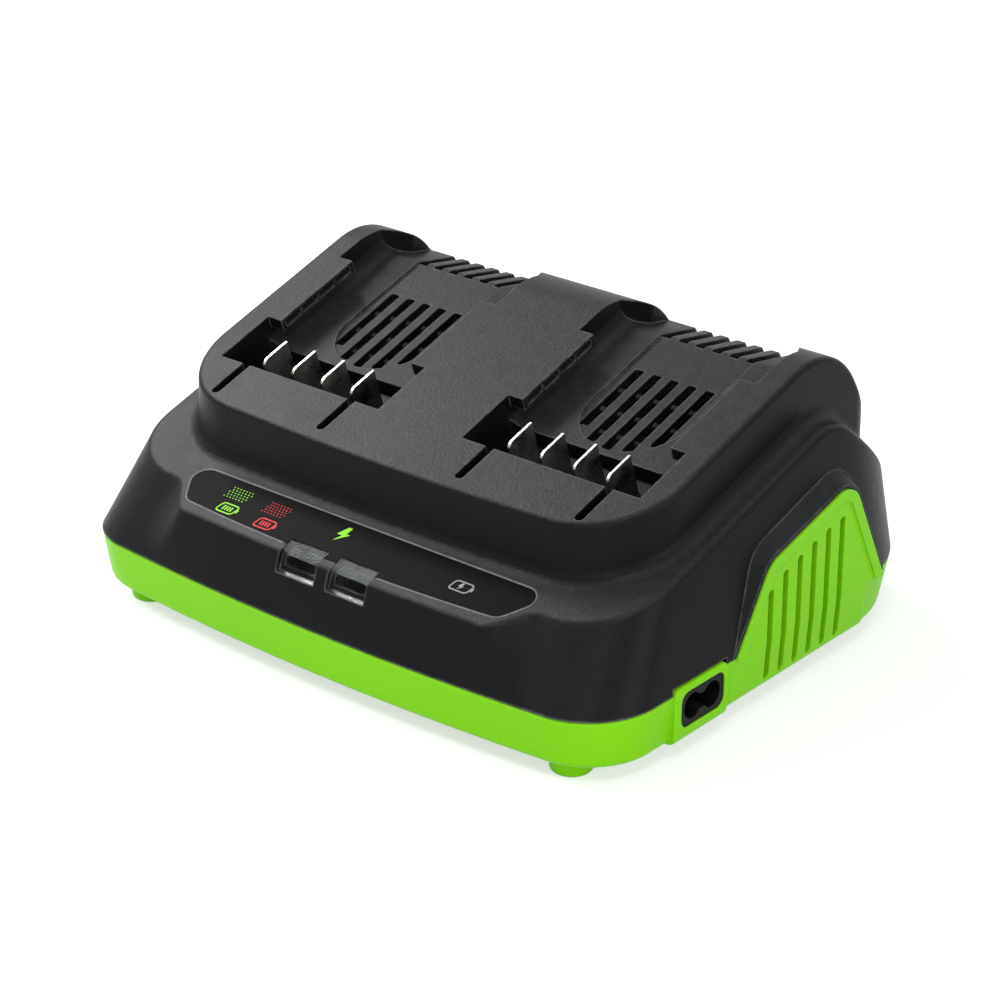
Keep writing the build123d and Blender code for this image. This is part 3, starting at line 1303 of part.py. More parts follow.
with BuildPart() as indicator_board:
    with BuildSketch(ledge_plane(LIGHT_BOARD_TOP)):
        with Locations((0, (LIGHT_BOARD_FRONT + LIGHT_BOARD_REAR) / 2)):
            Rectangle(2 * LIGHT_BOARD_HALF_X, LIGHT_BOARD_REAR - LIGHT_BOARD_FRONT)
        for post_x in LIGHT_POST_XS:
            with Locations((post_x, LIGHT_POST_ALONG)):
                Circle(LIGHT_PEG_RADIUS + LIGHT_PEG_FIT, mode=Mode.SUBTRACT)
    extrude(amount=-LIGHT_BOARD_THICK)
indicator_board.part.label = "indicator_board"
export_step(indicator_board.part, "parts/indicator_board.step")

with BuildPart() as indicator_leds:
    with BuildSketch(ledge_plane(LIGHT_BOARD_TOP + SEAT_GAP)):
        for lens_x in LENS_XS:
            for led_offset in LED_OFFSETS:
                with Locations((lens_x + led_offset, LED_ALONG)):
                    Rectangle(LED_SIZE, LED_SIZE)
    extrude(amount=LED_HEIGHT)
indicator_leds.part.label = "indicator_leds"
export_step(indicator_leds.part, "parts/indicator_leds.step")

# ---------------------------------------------------------------- large parts on the main board


with BuildPart() as transformer_core:
    with Locations((*CORE_POINT, PARTS_Z)):
        Box(CORE_LENGTH, CORE_DEPTH, CORE_HEIGHT, align=ON_BOARD)
        with Locations((0, 0, CORE_YOKE)):
            with GridLocations(CORE_LEG + CORE_WINDOW, 0, 2, 1):
                Box(
                    CORE_WINDOW, 2 * CORE_DEPTH, CORE_HEIGHT - 2 * CORE_YOKE, align=ON_BOARD,
                    mode=Mode.SUBTRACT,
                )
transformer_core.part.label = "transformer_core"
export_step(transformer_core.part, "parts/transformer_core.step")

with BuildPart() as transformer_winding:
    with BuildSketch(Plane.XY.offset(PARTS_Z + CORE_YOKE + WINDING_GAP)):
        with Locations(CORE_POINT):
            RectangleRounded(WINDING_LENGTH, WINDING_DEPTH, WINDING_CORNER)
            Rectangle(CORE_LEG + 2 * WINDING_GAP, CORE_DEPTH + 2 * WINDING_GAP, mode=Mode.SUBTRACT)
    extrude(amount=CORE_HEIGHT - 2 * CORE_YOKE - 2 * WINDING_GAP)
transformer_winding.part.label = "transformer_winding"
export_step(transformer_winding.part, "parts/transformer_winding.step")

with BuildPart() as bulk_capacitors:
    for point in BULK_POINTS:
        with Locations((*point, PARTS_Z)):
            Cylinder(BULK_RADIUS, BULK_HEIGHT, align=ON_BOARD)
    fillet(bulk_capacitors.edges().filter_by(GeomType.CIRCLE), BULK_EDGE_RADIUS)
bulk_capacitors.part.label = "bulk_capacitors"
export_step(bulk_capacitors.part, "parts/bulk_capacitors.step")

with BuildPart() as choke:
    with Locations((*CHOKE_POINT, PARTS_Z + CHOKE_RADIUS)):
        Cylinder(CHOKE_RADIUS, CHOKE_WIDTH, rotation=(0, 90, 0))
        Cylinder(CHOKE_BORE_RADIUS, 2 * CHOKE_WIDTH, rotation=(0, 90, 0), mode=Mode.SUBTRACT)
    fillet(choke.edges().filter_by(GeomType.CIRCLE), CHOKE_EDGE_RADIUS)
choke.part.label = "choke"
export_step(choke.part, "parts/choke.step")

with BuildPart() as film_capacitor:
    with Locations((*FILM_POINT, PARTS_Z)):
        Box(FILM_LENGTH, FILM_DEPTH, FILM_HEIGHT, align=ON_BOARD)
    fillet(film_capacitor.edges(), FILM_EDGE_RADIUS)
film_capacitor.part.label = "film_capacitor"
export_step(film_capacitor.part, "parts/film_capacitor.step")

with BuildPart() as fuse:
    with Locations((*FUSE_POINT, PARTS_Z + FUSE_CAP_RADIUS)):
        Cylinder(FUSE_RADIUS, FUSE_LENGTH, rotation=(90, 0, 0))
        for end in (-1, 1):
            with Locations((0, end * (FUSE_LENGTH - FUSE_CAP_LENGTH) / 2, 0)):
                Cylinder(FUSE_CAP_RADIUS, FUSE_CAP_LENGTH, rotation=(90, 0, 0))
fuse.part.label = "fuse"
export_step(fuse.part, "parts/fuse.step")


def make_heat_sink(point):
    """Upright plate with fins to the rear, standing on the main board."""
    with BuildPart() as sink:
        with Locations((*point, PARTS_Z)):
            Box(SINK_LENGTH, SINK_PLATE, SINK_HEIGHT, align=(Align.CENTER, Align.MAX, Align.MIN))
            with GridLocations(SINK_FIN_PITCH, 0, SINK_FIN_COUNT, 1):
                Box(SINK_FIN_THICK, SINK_FIN_REACH, SINK_HEIGHT, align=(Align.CENTER, Align.MIN, Align.MIN))
    return sink.part


primary_heat_sink = make_heat_sink(PRIMARY_SINK_POINT)
primary_heat_sink.label = "primary_heat_sink"
export_step(primary_heat_sink, "parts/primary_heat_sink.step")

secondary_heat_sink = make_heat_sink(SECONDARY_SINK_POINT)
secondary_heat_sink.label = "secondary_heat_sink"
export_step(secondary_heat_sink, "parts/secondary_heat_sink.step")

with BuildPart() as power_transistors:
    for point in (PRIMARY_SINK_POINT, SECONDARY_SINK_POINT):
        for offset in TRANSISTOR_OFFSETS:
            with Locations((point[0] + offset, point[1] - SINK_PLATE - SEAT_GAP, PARTS_Z + TRANSISTOR_RISE)):
                Box(
                    TRANSISTOR_LENGTH, TRANSISTOR_THICK, TRANSISTOR_HEIGHT,
                    align=(Align.CENTER, Align.MAX, Align.MIN),
                )
power_transistors.part.label = "power_transistors"
export_step(power_transistors.part, "parts/power_transistors.step")

# ---------------------------------------------------------------- cooling fan

FAN_PLANE = Plane(origin=(FAN_X, FAN_Y, FAN_Z), x_dir=(0, 1, 0), z_dir=(1, 0, 0))

with BuildPart(FAN_PLANE) as fan_frame:
    Box(FAN_SIZE, FAN_SIZE, FAN_DEPTH)
    fillet(fan_frame.edges().filter_by(Axis.X), FAN_CORNER)
    Cylinder(FAN_BORE_RADIUS, 2 * FAN_DEPTH, mode=Mode.SUBTRACT)
    with GridLocations(FAN_HOLE_PITCH, FAN_HOLE_PITCH, 2, 2):
        Cylinder(FAN_HOLE_RADIUS, 2 * FAN_DEPTH, mode=Mode.SUBTRACT)
    with Locations((0, 0, -FAN_DEPTH / 2)):
        Cylinder(FAN_DISC_RADIUS, FAN_DISC_THICK, align=(Align.CENTER, Align.CENTER, Align.MIN))
        with PolarLocations((FAN_BORE_RADIUS + FAN_DISC_RADIUS) / 2, FAN_STRUTS):
            Box(
                FAN_BORE_RADIUS - FAN_DISC_RADIUS + 2, FAN_STRUT_WIDTH, FAN_DISC_THICK,
                align=(Align.CENTER, Align.CENTER, Align.MIN),
            )
        Cylinder(
            FAN_PIN_RADIUS, FAN_DISC_THICK + FAN_PIN_LENGTH, align=(Align.CENTER, Align.CENTER, Align.MIN)
        )
fan_frame.part.label = "fan_frame"
export_step(fan_frame.part, "parts/fan_frame.step")

with BuildPart(FAN_PLANE) as fan_rotor:
    with Locations((0, 0, ROTOR_HUB_BACK)):
        Cylinder(
            ROTOR_HUB_RADIUS, ROTOR_HUB_FRONT - ROTOR_HUB_BACK, align=(Align.CENTER, Align.CENTER, Align.MIN)
        )
    fillet(fan_rotor.edges().filter_by(GeomType.CIRCLE).group_by(Axis.X)[-1], ROTOR_HUB_EDGE)
    blade_length = ROTOR_BLADE_REACH - ROTOR_HUB_RADIUS + 1
    with Locations((0, 0, ROTOR_BLADE_Z)):
        with PolarLocations(ROTOR_BLADE_REACH - blade_length / 2, ROTOR_BLADES):
            Box(blade_length, ROTOR_BLADE_CHORD, ROTOR_BLADE_THICK, rotation=(ROTOR_BLADE_PITCH, 0, 0))
    with Locations((0, 0, ROTOR_HUB_BACK - 1)):
        Cylinder(
            FAN_PIN_RADIUS + FAN_RUNNING_GAP, FAN_PIN_LENGTH + 1,
            align=(Align.CENTER, Align.CENTER, Align.MIN), mode=Mode.SUBTRACT,
        )
fan_rotor.part.label = "fan_rotor"
export_step(fan_rotor.part, "parts/fan_rotor.step")
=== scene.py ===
"""Studio picture of a two-bay charger for power tool batteries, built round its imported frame."""

from __future__ import annotations

import logging
import math
from dataclasses import dataclass
from enum import Enum

import bmesh
import bpy
from bmesh.types import BMesh
from bpy.types import Material, Mesh, Node, NodeOutputs, NodeSocket, NodeTree, Object
from mathutils import Matrix, Vector

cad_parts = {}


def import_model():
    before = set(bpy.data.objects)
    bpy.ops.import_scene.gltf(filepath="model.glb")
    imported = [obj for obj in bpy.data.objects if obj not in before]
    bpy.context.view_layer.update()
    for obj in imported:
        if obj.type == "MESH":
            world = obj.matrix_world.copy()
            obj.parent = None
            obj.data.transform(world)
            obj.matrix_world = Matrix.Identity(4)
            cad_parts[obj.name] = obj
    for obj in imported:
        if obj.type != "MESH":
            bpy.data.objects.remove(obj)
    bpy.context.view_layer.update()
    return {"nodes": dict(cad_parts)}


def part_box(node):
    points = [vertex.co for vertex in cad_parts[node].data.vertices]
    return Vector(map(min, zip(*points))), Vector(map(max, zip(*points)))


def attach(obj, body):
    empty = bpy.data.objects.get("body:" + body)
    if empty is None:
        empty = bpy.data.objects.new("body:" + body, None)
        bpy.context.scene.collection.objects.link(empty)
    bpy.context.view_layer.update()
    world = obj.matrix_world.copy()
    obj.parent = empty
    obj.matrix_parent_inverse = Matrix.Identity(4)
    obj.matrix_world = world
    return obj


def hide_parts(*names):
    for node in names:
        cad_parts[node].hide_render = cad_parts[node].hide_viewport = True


LOG = logging.getLogger("charger")
MM = 0.001
RIGHT_ANGLE = 90

Rgb = tuple[float, float, float]
Point = tuple[float, float]
Place = tuple[float, float, float]

# The standard curve between a written colour and linear light
CURVE_KNEE = 0.04045
CURVE_SLOPE = 12.92
CURVE_LIFT = 0.055
CURVE_POWER = 2.4

# The kind of a Geometry Nodes input by its default value, where None stands for a mesh
SOCKETS = {float: "NodeSocketFloat", int: "NodeSocketInt", type(None): "NodeSocketGeometry"}

# The colour sockets of a Mix node, and the yes-or-no one of a Random Value node
MIX_LOW, MIX_HIGH, MIX_RESULT = 6, 7, 2
BOOLEAN_RESULT = 3

# Ranges that values are mapped from: a plain share, and where most of a noise texture's grey lies
UNIT = (0.0, 1.0)
NOISE_RANGE = (0.3, 0.7)
BEVEL_SAMPLES = 4

# Closer points are welded and shorter edges removed when a node is copied, in metres
WELD_REACH = 2e-6
SLIVER_REACH = 1e-7

# Lamps face this height over the floor's middle, in metres
AIM_HEIGHT = 0.04


class Slot(Enum):
    """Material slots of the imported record."""

    CHARCOAL = "charcoal_plastic"
    LIME = "lime_plastic"
    PANEL = "black_gloss"
    CLEAR = "clear_plastic"
    TINNED = "tinned_copper"
    BLACK = "black_plastic"
    STEEL = "plated_steel"
    LAMINATE = "board_laminate"
    LED = "led_epoxy"
    FERRITE = "ferrite"
    TAPE = "winding_tape"
    SLEEVE = "capacitor_sleeve"
    FILM = "film_case"
    COPPER = "enamelled_copper"
    FUSE = "fuse_glass"
    ALUMINIUM = "plain_aluminium"
    LEAD = "red_insulation"


class Body(Enum):
    """Bodies that pieces ride on; the fan's rotor has no piece besides its node."""

    HOUSING = "housing"


def linear(code: str) -> Rgb:
    """Turn a hex colour into linear light.

    Args:
        code: six hex digits.

    Returns:
        Red, green and blue from 0 to 1.
    """
    shares = [int(code[i : i + 2], 16) / 255 for i in (0, 2, 4)]
    return tuple(
        share / CURVE_SLOPE if share <= CURVE_KNEE else ((share + CURVE_LIFT) / (1 + CURVE_LIFT)) ** CURVE_POWER
        for share in shares
    )


class NodeBench:
    """Adds nodes to one tree, sets their inputs and joins them; the shared effects are known to every bench."""

    effects: dict[str, NodeTree] = {}

    def __init__(self, tree: NodeTree) -> None:
        """Keep the tree that nodes go to."""
        self.tree = tree

    def put(self, socket: NodeSocket, value: object) -> None:
        """Join a socket to another one, or write a plain value on it.

        Args:
            socket: the input.
            value: an output socket, a number, a colour, six hex digits or a vector.
        """
        if isinstance(value, NodeSocket):
            self.tree.links.new(value, socket)
        elif isinstance(value, str):
            socket.default_value = (*linear(value), 1.0)
        elif socket.type == "RGBA" and len(value) == 3:
            socket.default_value = (*value, 1.0)
        else:
            socket.default_value = value

    def fill(self, node: Node, inputs: dict) -> None:
        """Set a node's inputs by name or number."""
        for key, value in inputs.items():
            self.put(node.inputs[key], value)

    def add(self, kind: str, inputs: dict | None = None, **settings: object) -> Node:
        """Add one node.

        Args:
            kind: the node's type name.
            inputs: values or sockets by input name or number.
            settings: the node's own properties.

        Returns:
            The new node.
        """
        node = self.tree.nodes.new(kind)
        for key, value in settings.items():
            setattr(node, key, value)
        self.fill(node, inputs or {})
        return node

    def out(self, kind: str, inputs: dict | None = None, **settings: object) -> NodeSocket:
        """Add one node and return its first output."""
        return self.add(kind, inputs, **settings).outputs[0]

    def math(self, operation: str, a: object, b: object) -> NodeSocket:
        """Do one sum on two values or sockets."""
        return self.out("ShaderNodeMath", {0: a, 1: b}, operation=operation)

    def times(self, a: object, b: object) -> NodeSocket:
        """Multiply two values or sockets."""
        return self.math("MULTIPLY", a, b)

    def blend(self, share: object, low: object, high: object) -> NodeSocket:
        """Mix two colours by the share of the second one."""
        inputs = {0: share, MIX_LOW: low, MIX_HIGH: high}
        return self.add("ShaderNodeMix", inputs, data_type="RGBA").outputs[MIX_RESULT]

    def spread(self, value: object, bounds: tuple[float, float], low: float = 0.0, high: float = 1.0) -> NodeSocket:
        """Map a value from its bounds to the range from low to high."""
        inputs = {"Value": value, "From Min": bounds[0], "From Max": bounds[1], "To Min": low, "To Max": high}
        return self.add("ShaderNodeMapRange", inputs).outputs["Result"]

    def noise(self, vector: object, scale: object, detail: float = 3.0, rough: float = 0.55) -> NodeSocket:
        """Return the grey value of a noise texture of one scale per metre."""
        inputs = {"Vector": vector, "Scale": scale, "Detail": detail, "Roughness": rough}
        return self.out("ShaderNodeTexNoise", inputs)

    def use(self, name: str, **values: float) -> NodeOutputs:
        """Place a shared effect.

        Args:
            name: the effect's name.
            values: input values, with underscores for spaces.

        Returns:
            The outputs of its node.
        """
        node = self.add("ShaderNodeGroup", node_tree=self.effects[name])
        for key, value in values.items():
            node.inputs[key.replace("_", " ")].default_value = value
        return node.outputs

    def bump(self, height: NodeSocket, depth: float, strength: float, rounding: float = 0.0) -> NodeSocket:
        """Turn the surface's normal by a height pattern.

        Args:
            height: the pattern.
            depth: how deep it is, in metres.
            strength: how much of it shows.
            rounding: how far edges look rounded under it, in metres.

        Returns:
            The turned normal.
        """
        inputs = {"Strength": strength, "Distance": depth, "Height": height}
        if rounding:
            inputs["Normal"] = self.out("ShaderNodeBevel", {"Radius": rounding}, samples=BEVEL_SAMPLES)
        return self.out("ShaderNodeBump", inputs)


def emptied(owner: object) -> NodeBench:
    """Turn on the nodes of a material or world and clear them away.

    Args:
        owner: the material or world.

    Returns:
        The bench of its empty tree.
    """
    owner.use_nodes = True
    owner.node_tree.nodes.clear()
    return NodeBench(owner.node_tree)


class Effect(NodeBench):
    """A shader effect that several finishes share, built once as a node group."""

    def __init__(self, name: str, inputs: dict[str, float], outputs: tuple[str, ...]) -> None:
        """Make the group with its named sockets.

        Args:
            name: the group's name.
            inputs: default values by input name.
            outputs: the output names.
        """
        super().__init__(bpy.data.node_groups.new(name, "ShaderNodeTree"))
        for key, value in inputs.items():
            socket = self.tree.interface.new_socket(key, in_out="INPUT", socket_type="NodeSocketFloat")
            socket.default_value = value
        for key in outputs:
            self.tree.interface.new_socket(key, in_out="OUTPUT", socket_type="NodeSocketFloat")
        self.given = self.add("NodeGroupInput").outputs
        self.result = self.add("NodeGroupOutput").inputs
        self.place = self.add("ShaderNodeTexCoord").outputs["Object"]
        NodeBench.effects[name] = self.tree

    def per_metre(self, size: str) -> NodeSocket:
        """Return how often the size that an input gives goes into a metre."""
        return self.math("DIVIDE", 1.0, self.given[size])

    def give(self, **values: NodeSocket) -> None:
        """Join values to the outputs of the same names."""
        for key, value in values.items():
            self.put(self.result[key], value)

    def stretched(self, across: object, along: object) -> NodeSocket:
        """Return the effect's place times one scale along X and another along Y and Z."""
        scale = self.out("ShaderNodeCombineXYZ", {"X": across, "Y": along, "Z": along})
        return self.out("ShaderNodeVectorMath", {0: self.place, 1: scale}, operation="MULTIPLY")


def mould_grain() -> None:
    """Build the grain that a spark-eroded mould leaves on plastic: cells with finer pits over them."""
    cell_share, pit_fineness = 0.8, 1.7
    effect = Effect("mould_grain", {"Grain Size": 0.0006}, ("Height", "Speckle"))
    fine = effect.per_metre("Grain Size")
    cells = effect.add("ShaderNodeTexVoronoi", {"Vector": effect.place, "Scale": fine}, feature="SMOOTH_F1")
    pits = effect.noise(effect.place, effect.times(fine, pit_fineness), detail=2.0)
    raised = effect.times(cells.outputs["Distance"], cell_share)
    effect.give(Height=effect.math("ADD", raised, pits), Speckle=effect.spread(pits, NOISE_RANGE))


def tone_drift() -> None:
    """Build the slow change of tone across a moulding."""
    effect = Effect("tone_drift", {"Patch Size": 0.06}, ("Tone",))
    broad = effect.noise(effect.place, effect.per_metre("Patch Size"), detail=4.0, rough=0.6)
    effect.give(Tone=effect.spread(broad, NOISE_RANGE))


def edge_rub() -> None:
    """Build the mask of edges lightened by hand wear and by a painted highlight: where the rounded and the real normal
    part, in patches.
    """
    match_range, patch_range, least = (0.995, 0.86), (0.35, 0.65), 0.25
    effect = Effect("edge_rub", {"Width": 0.0005, "Break Size": 0.004}, ("Mask",))
    turned = effect.out("ShaderNodeBevel", {"Radius": effect.given["Width"]}, samples=BEVEL_SAMPLES)
    normal = effect.add("ShaderNodeNewGeometry").outputs["Normal"]
    match = effect.add("ShaderNodeVectorMath", {0: turned, 1: normal}, operation="DOT_PRODUCT").outputs["Value"]
    edge = effect.spread(match, match_range)
    broken = effect.noise(effect.place, effect.per_metre("Break Size"), rough=0.7)
    effect.give(Mask=effect.times(edge, effect.spread(broken, patch_range, least)))


def settled_haze() -> None:
    """Build the mask of faces that look up, for a painted sheen that lightens them in cloudy patches."""
    rise_range, least = (0.55, 0.97), 0.55
    effect = Effect("settled_haze", {"Patch Size": 0.004}, ("Mask",))
    normal = effect.add("ShaderNodeNewGeometry").outputs["Normal"]
    upward = effect.spread(effect.add("ShaderNodeSeparateXYZ", {0: normal}).outputs["Z"], rise_range)
    clouds = effect.noise(effect.place, effect.per_metre("Patch Size"), detail=5.0, rough=0.7)
    effect.give(Mask=effect.times(upward, effect.spread(clouds, NOISE_RANGE, least)))


def brushed_lines() -> None:
    """Build the fine lines of drawn metal and of flowing plastic."""
    effect = Effect("brushed_lines", {"Line Size": 0.0002, "Stretch": 12.0}, ("Height", "Tone"))
    thin = effect.per_metre("Line Size")
    long = effect.math("DIVIDE", thin, effect.given["Stretch"])
    lines = effect.noise(effect.stretched(thin, long), 1.0, rough=0.6)
    effect.give(Height=lines, Tone=effect.spread(lines, NOISE_RANGE))


def fine_scuffs() -> None:
    """Build a few short light scuffs, from the palest part of a stretched noise."""
    stretch, grey_range = 14.0, (0.62, 0.72)
    effect = Effect("fine_scuffs", {"Scuff Length": 0.006}, ("Mask",))
    along = effect.per_metre("Scuff Length")
    place = effect.stretched(effect.times(along, stretch), along)
    effect.give(Mask=effect.spread(effect.noise(place, 1.0, detail=4.0, rough=0.75), grey_range))


def make_effects() -> None:
    """Build every shared effect once."""
    for make in (mould_grain, tone_drift, edge_rub, settled_haze, brushed_lines, fine_scuffs):
        make()


@dataclass(frozen=True)
class Finish:
    """The look of one material: each kind adds its own nodes to one Principled shader."""

    name: str
    colour: str

    def build(self) -> Material:
        """Make the material.

        Returns:
            The new material.
        """
        material = bpy.data.materials.new(self.name)
        bench = emptied(material)
        shader = bench.add("ShaderNodeBsdfPrincipled")
        bench.add("ShaderNodeOutputMaterial", {"Surface": shader.outputs[0]})
        bench.fill(shader, self.inputs(bench))
        return material

    def tone(self, bench: NodeBench) -> NodeSocket:
        """Return the slow change of tone across the finish."""
        return bench.use("tone_drift", Patch_Size=self.patch_size)["Tone"]


@dataclass(frozen=True)
class MouldedPlastic(Finish):
    """Injection moulded plastic with grain, slight tone drift, edges lightened by wear and by a painted highlight, and
    a painted sheen on faces that look up.
    """

    deep: str
    worn_and_lit_tone: str
    roughness: float
    specular: float
    grain_size: float
    grain_depth: float
    patch_size: float
    wear_and_highlight_share: float
    edge_round: float = 0.0004
    # Share of the painted sheen on faces that look up
    haze: float = 0.0
    speckle_share: float = 0.3
    edge_mark_reach: float = 1.6
    rough_swing: float = 0.04
    scuff_dull: float = 0.06
    edge_polish: float = 0.06

    def inputs(self, bench: NodeBench) -> dict[str, object]:
        """Add the finish's nodes.

        Args:
            bench: the material's bench.

        Returns:
            The shader's inputs by name.
        """
        grain = bench.use("mould_grain", Grain_Size=self.grain_size)
        tone = self.tone(bench)
        edge = bench.use("edge_rub", Width=self.edge_round * self.edge_mark_reach)["Mask"]
        scuff = bench.use("fine_scuffs")["Mask"]
        haze = bench.use("settled_haze")["Mask"]
        speckle = bench.times(grain["Speckle"], self.speckle_share)
        mottled = bench.math("ADD", bench.times(tone, 1.0 - self.speckle_share), speckle)
        body = bench.blend(mottled, self.deep, self.colour)
        # Painted sheen: faces that look up are lightened toward the pale tone by the haze share.
        body = bench.blend(bench.times(haze, self.haze), body, self.worn_and_lit_tone)
        rough = bench.spread(tone, UNIT, self.roughness - self.rough_swing, self.roughness + self.rough_swing)
        rough = bench.math("ADD", rough, bench.times(scuff, self.scuff_dull))
        return {
            # Edges are lightened toward the pale tone: partly wear, partly a painted highlight.
            "Base Color": bench.blend(bench.times(edge, self.wear_and_highlight_share), body, self.worn_and_lit_tone),
            "Roughness": bench.math("SUBTRACT", rough, bench.times(edge, self.edge_polish)),
            "Normal": bench.bump(grain["Height"], self.grain_depth, 1.0, self.edge_round),
            "Specular IOR Level": self.specular,
        }


@dataclass(frozen=True)
class BareMetal(Finish):
    """Plain or plated metal with drawn lines, dulled patches and edges lightened by wear and by a painted highlight."""

    dull: str
    roughness: float = 0.3
    line_size: float = 0.0002
    stretch: float = 14.0
    depth: float = 0.000008
    edge_round: float = 0.0002
    patch_size: float = 0.012
    dull_share: float = 0.6
    wear_and_highlight_share: float = 0.7
    edge_mark_reach: float = 2.0
    edge_mark_break: float = 0.002
    bright: str = "F4F2EE"
    smoother: float = 0.07
    rougher: float = 0.09
    edge_polish: float = 0.08
    line_strength: float = 0.8

    def inputs(self, bench: NodeBench) -> dict[str, object]:
        """Add the finish's nodes.

        Args:
            bench: the material's bench.

        Returns:
            The shader's inputs by name.
        """
        lines = bench.use("brushed_lines", Line_Size=self.line_size, Stretch=self.stretch)
        reach = self.edge_round * self.edge_mark_reach
        edge = bench.use("edge_rub", Width=reach, Break_Size=self.edge_mark_break)["Mask"]
        dulled = bench.times(self.tone(bench), self.dull_share)
        patchy = bench.blend(dulled, self.colour, self.dull)
        rough = bench.spread(lines["Tone"], UNIT, self.roughness - self.smoother, self.roughness + self.rougher)
        return {
            # Edges are lightened toward the bright tone: partly wear, partly a painted highlight.
            "Base Color": bench.blend(bench.times(edge, self.wear_and_highlight_share), patchy, self.bright),
            "Roughness": bench.math("SUBTRACT", rough, bench.times(edge, self.edge_polish)),
            "Normal": bench.bump(lines["Height"], self.depth, self.line_strength, self.edge_round),
            "Metallic": 1.0,
        }


@dataclass(frozen=True)
class ClearWindow(Finish):
    """Clear moulded window plastic with faint flow lines."""

    clearest: str = "FFFFFF"
    roughness: float = 0.0
    cloud_dull: float = 0.02
    patch_size: float = 0.01
    refraction: float = 1.11
    specular: float = 0.05
    edge_round: float = 0.0003
    flow_size: float = 0.0012
    flow_stretch: float = 5.0
    flow_depth: float = 0.00001
    flow_strength: float = 0.05

    def inputs(self, bench: NodeBench) -> dict[str, object]:
        """Add the finish's nodes.

        Args:
            bench: the material's bench.

        Returns:
            The shader's inputs by name.
        """
        flow = bench.use("brushed_lines", Line_Size=self.flow_size, Stretch=self.flow_stretch)
        tone = self.tone(bench)
        return {
            "Base Color": bench.blend(tone, self.colour, self.clearest),
            "Roughness": bench.spread(tone, UNIT, self.roughness, self.roughness + self.cloud_dull),
            "Normal": bench.bump(flow["Height"], self.flow_depth, self.flow_strength, self.edge_round),
            "Transmission Weight": 1.0,
            "IOR": self.refraction,
            "Specular IOR Level": self.specular,
        }


@dataclass(frozen=True)
class GlossSheet(Finish):
    """Polished printed sheet: deep colour under a clear hard coat, with fine scuffs."""

    haze: str
    roughness: float = 0.3
    specular: float = 0.01
    patch_size: float = 0.03
    scuff_length: float = 0.009
    scuff_dull: float = 0.12
    smoother: float = 0.03
    rougher: float = 0.04
    ripple_size: float = 0.0018
    ripple_depth: float = 0.000006
    ripple_strength: float = 0.3

    def inputs(self, bench: NodeBench) -> dict[str, object]:
        """Add the finish's nodes.

        Args:
            bench: the material's bench.

        Returns:
            The shader's inputs by name.
        """
        tone = self.tone(bench)
        scuff = bench.use("fine_scuffs", Scuff_Length=self.scuff_length)["Mask"]
        ripple = bench.use("mould_grain", Grain_Size=self.ripple_size)["Height"]
        rough = bench.spread(tone, UNIT, self.roughness - self.smoother, self.roughness + self.rougher)
        return {
            "Base Color": bench.blend(tone, self.colour, self.haze),
            "Roughness": bench.math("ADD", rough, bench.times(scuff, self.scuff_dull)),
            "Normal": bench.bump(ripple, self.ripple_depth, self.ripple_strength),
            "Specular IOR Level": self.specular,
        }


@dataclass(frozen=True)
class ScreenInk(Finish):
    """Screen printed ink: matt, a little uneven, with a faint mesh mark and a faint painted glow."""

    thin: str
    glow: float = 0.08
    specular: float = 0.12
    mesh_size: float = 0.00025
    mesh_depth: float = 0.000005
    mesh_strength: float = 0.5
    patch_size: float = 0.004
    smoothest: float = 0.35
    roughest: float = 0.5

    def inputs(self, bench: NodeBench) -> dict[str, object]:
        """Add the finish's nodes.

        Args:
            bench: the material's bench.

        Returns:
            The shader's inputs by name.
        """
        grain = bench.use("mould_grain", Grain_Size=self.mesh_size)
        patchy = bench.times(bench.math("ADD", self.tone(bench), grain["Speckle"]), 0.5)
        body = bench.blend(patchy, self.thin, self.colour)
        return {
            "Base Color": body,
            "Roughness": bench.spread(patchy, UNIT, self.smoothest, self.roughest),
            "Normal": bench.bump(grain["Height"], self.mesh_depth, self.mesh_strength),
            # Painted glow: the ink emits a little of its own colour.
            "Emission Color": body,
            "Emission Strength": self.glow,
            "Specular IOR Level": self.specular,
        }


@dataclass(frozen=True)
class Laminate(Finish):
    """Circuit board: solder mask over copper runs and glass weave."""

    run: str
    shade: str = "0B2A12"
    run_size: float = 0.006
    run_gap: float = 0.06
    run_share: float = 0.8
    weave_size: float = 0.0004
    weave_stretch: float = 3.0
    weave_share: float = 0.3
    patch_size: float = 0.02
    shade_share: float = 0.25
    smoothest: float = 0.22
    roughest: float = 0.38
    depth: float = 0.00004
    strength: float = 0.6

    def inputs(self, bench: NodeBench) -> dict[str, object]:
        """Add the finish's nodes.

        Args:
            bench: the material's bench.

        Returns:
            The shader's inputs by name.
        """
        place = bench.add("ShaderNodeTexCoord").outputs["Object"]
        bricks = {"Vector": place, "Scale": 1 / self.run_size, "Mortar Size": self.run_gap}
        runs = bench.add("ShaderNodeTexBrick", bricks).outputs["Fac"]
        weave = bench.use("brushed_lines", Line_Size=self.weave_size, Stretch=self.weave_stretch)
        body = bench.blend(bench.times(runs, self.run_share), self.colour, self.run)
        shaded = bench.times(self.tone(bench), self.shade_share)
        height = bench.math("ADD", runs, bench.times(weave["Height"], self.weave_share))
        return {
            "Base Color": bench.blend(shaded, body, self.shade),
            "Roughness": bench.spread(weave["Tone"], UNIT, self.smoothest, self.roughest),
            "Normal": bench.bump(height, self.depth, self.strength),
        }
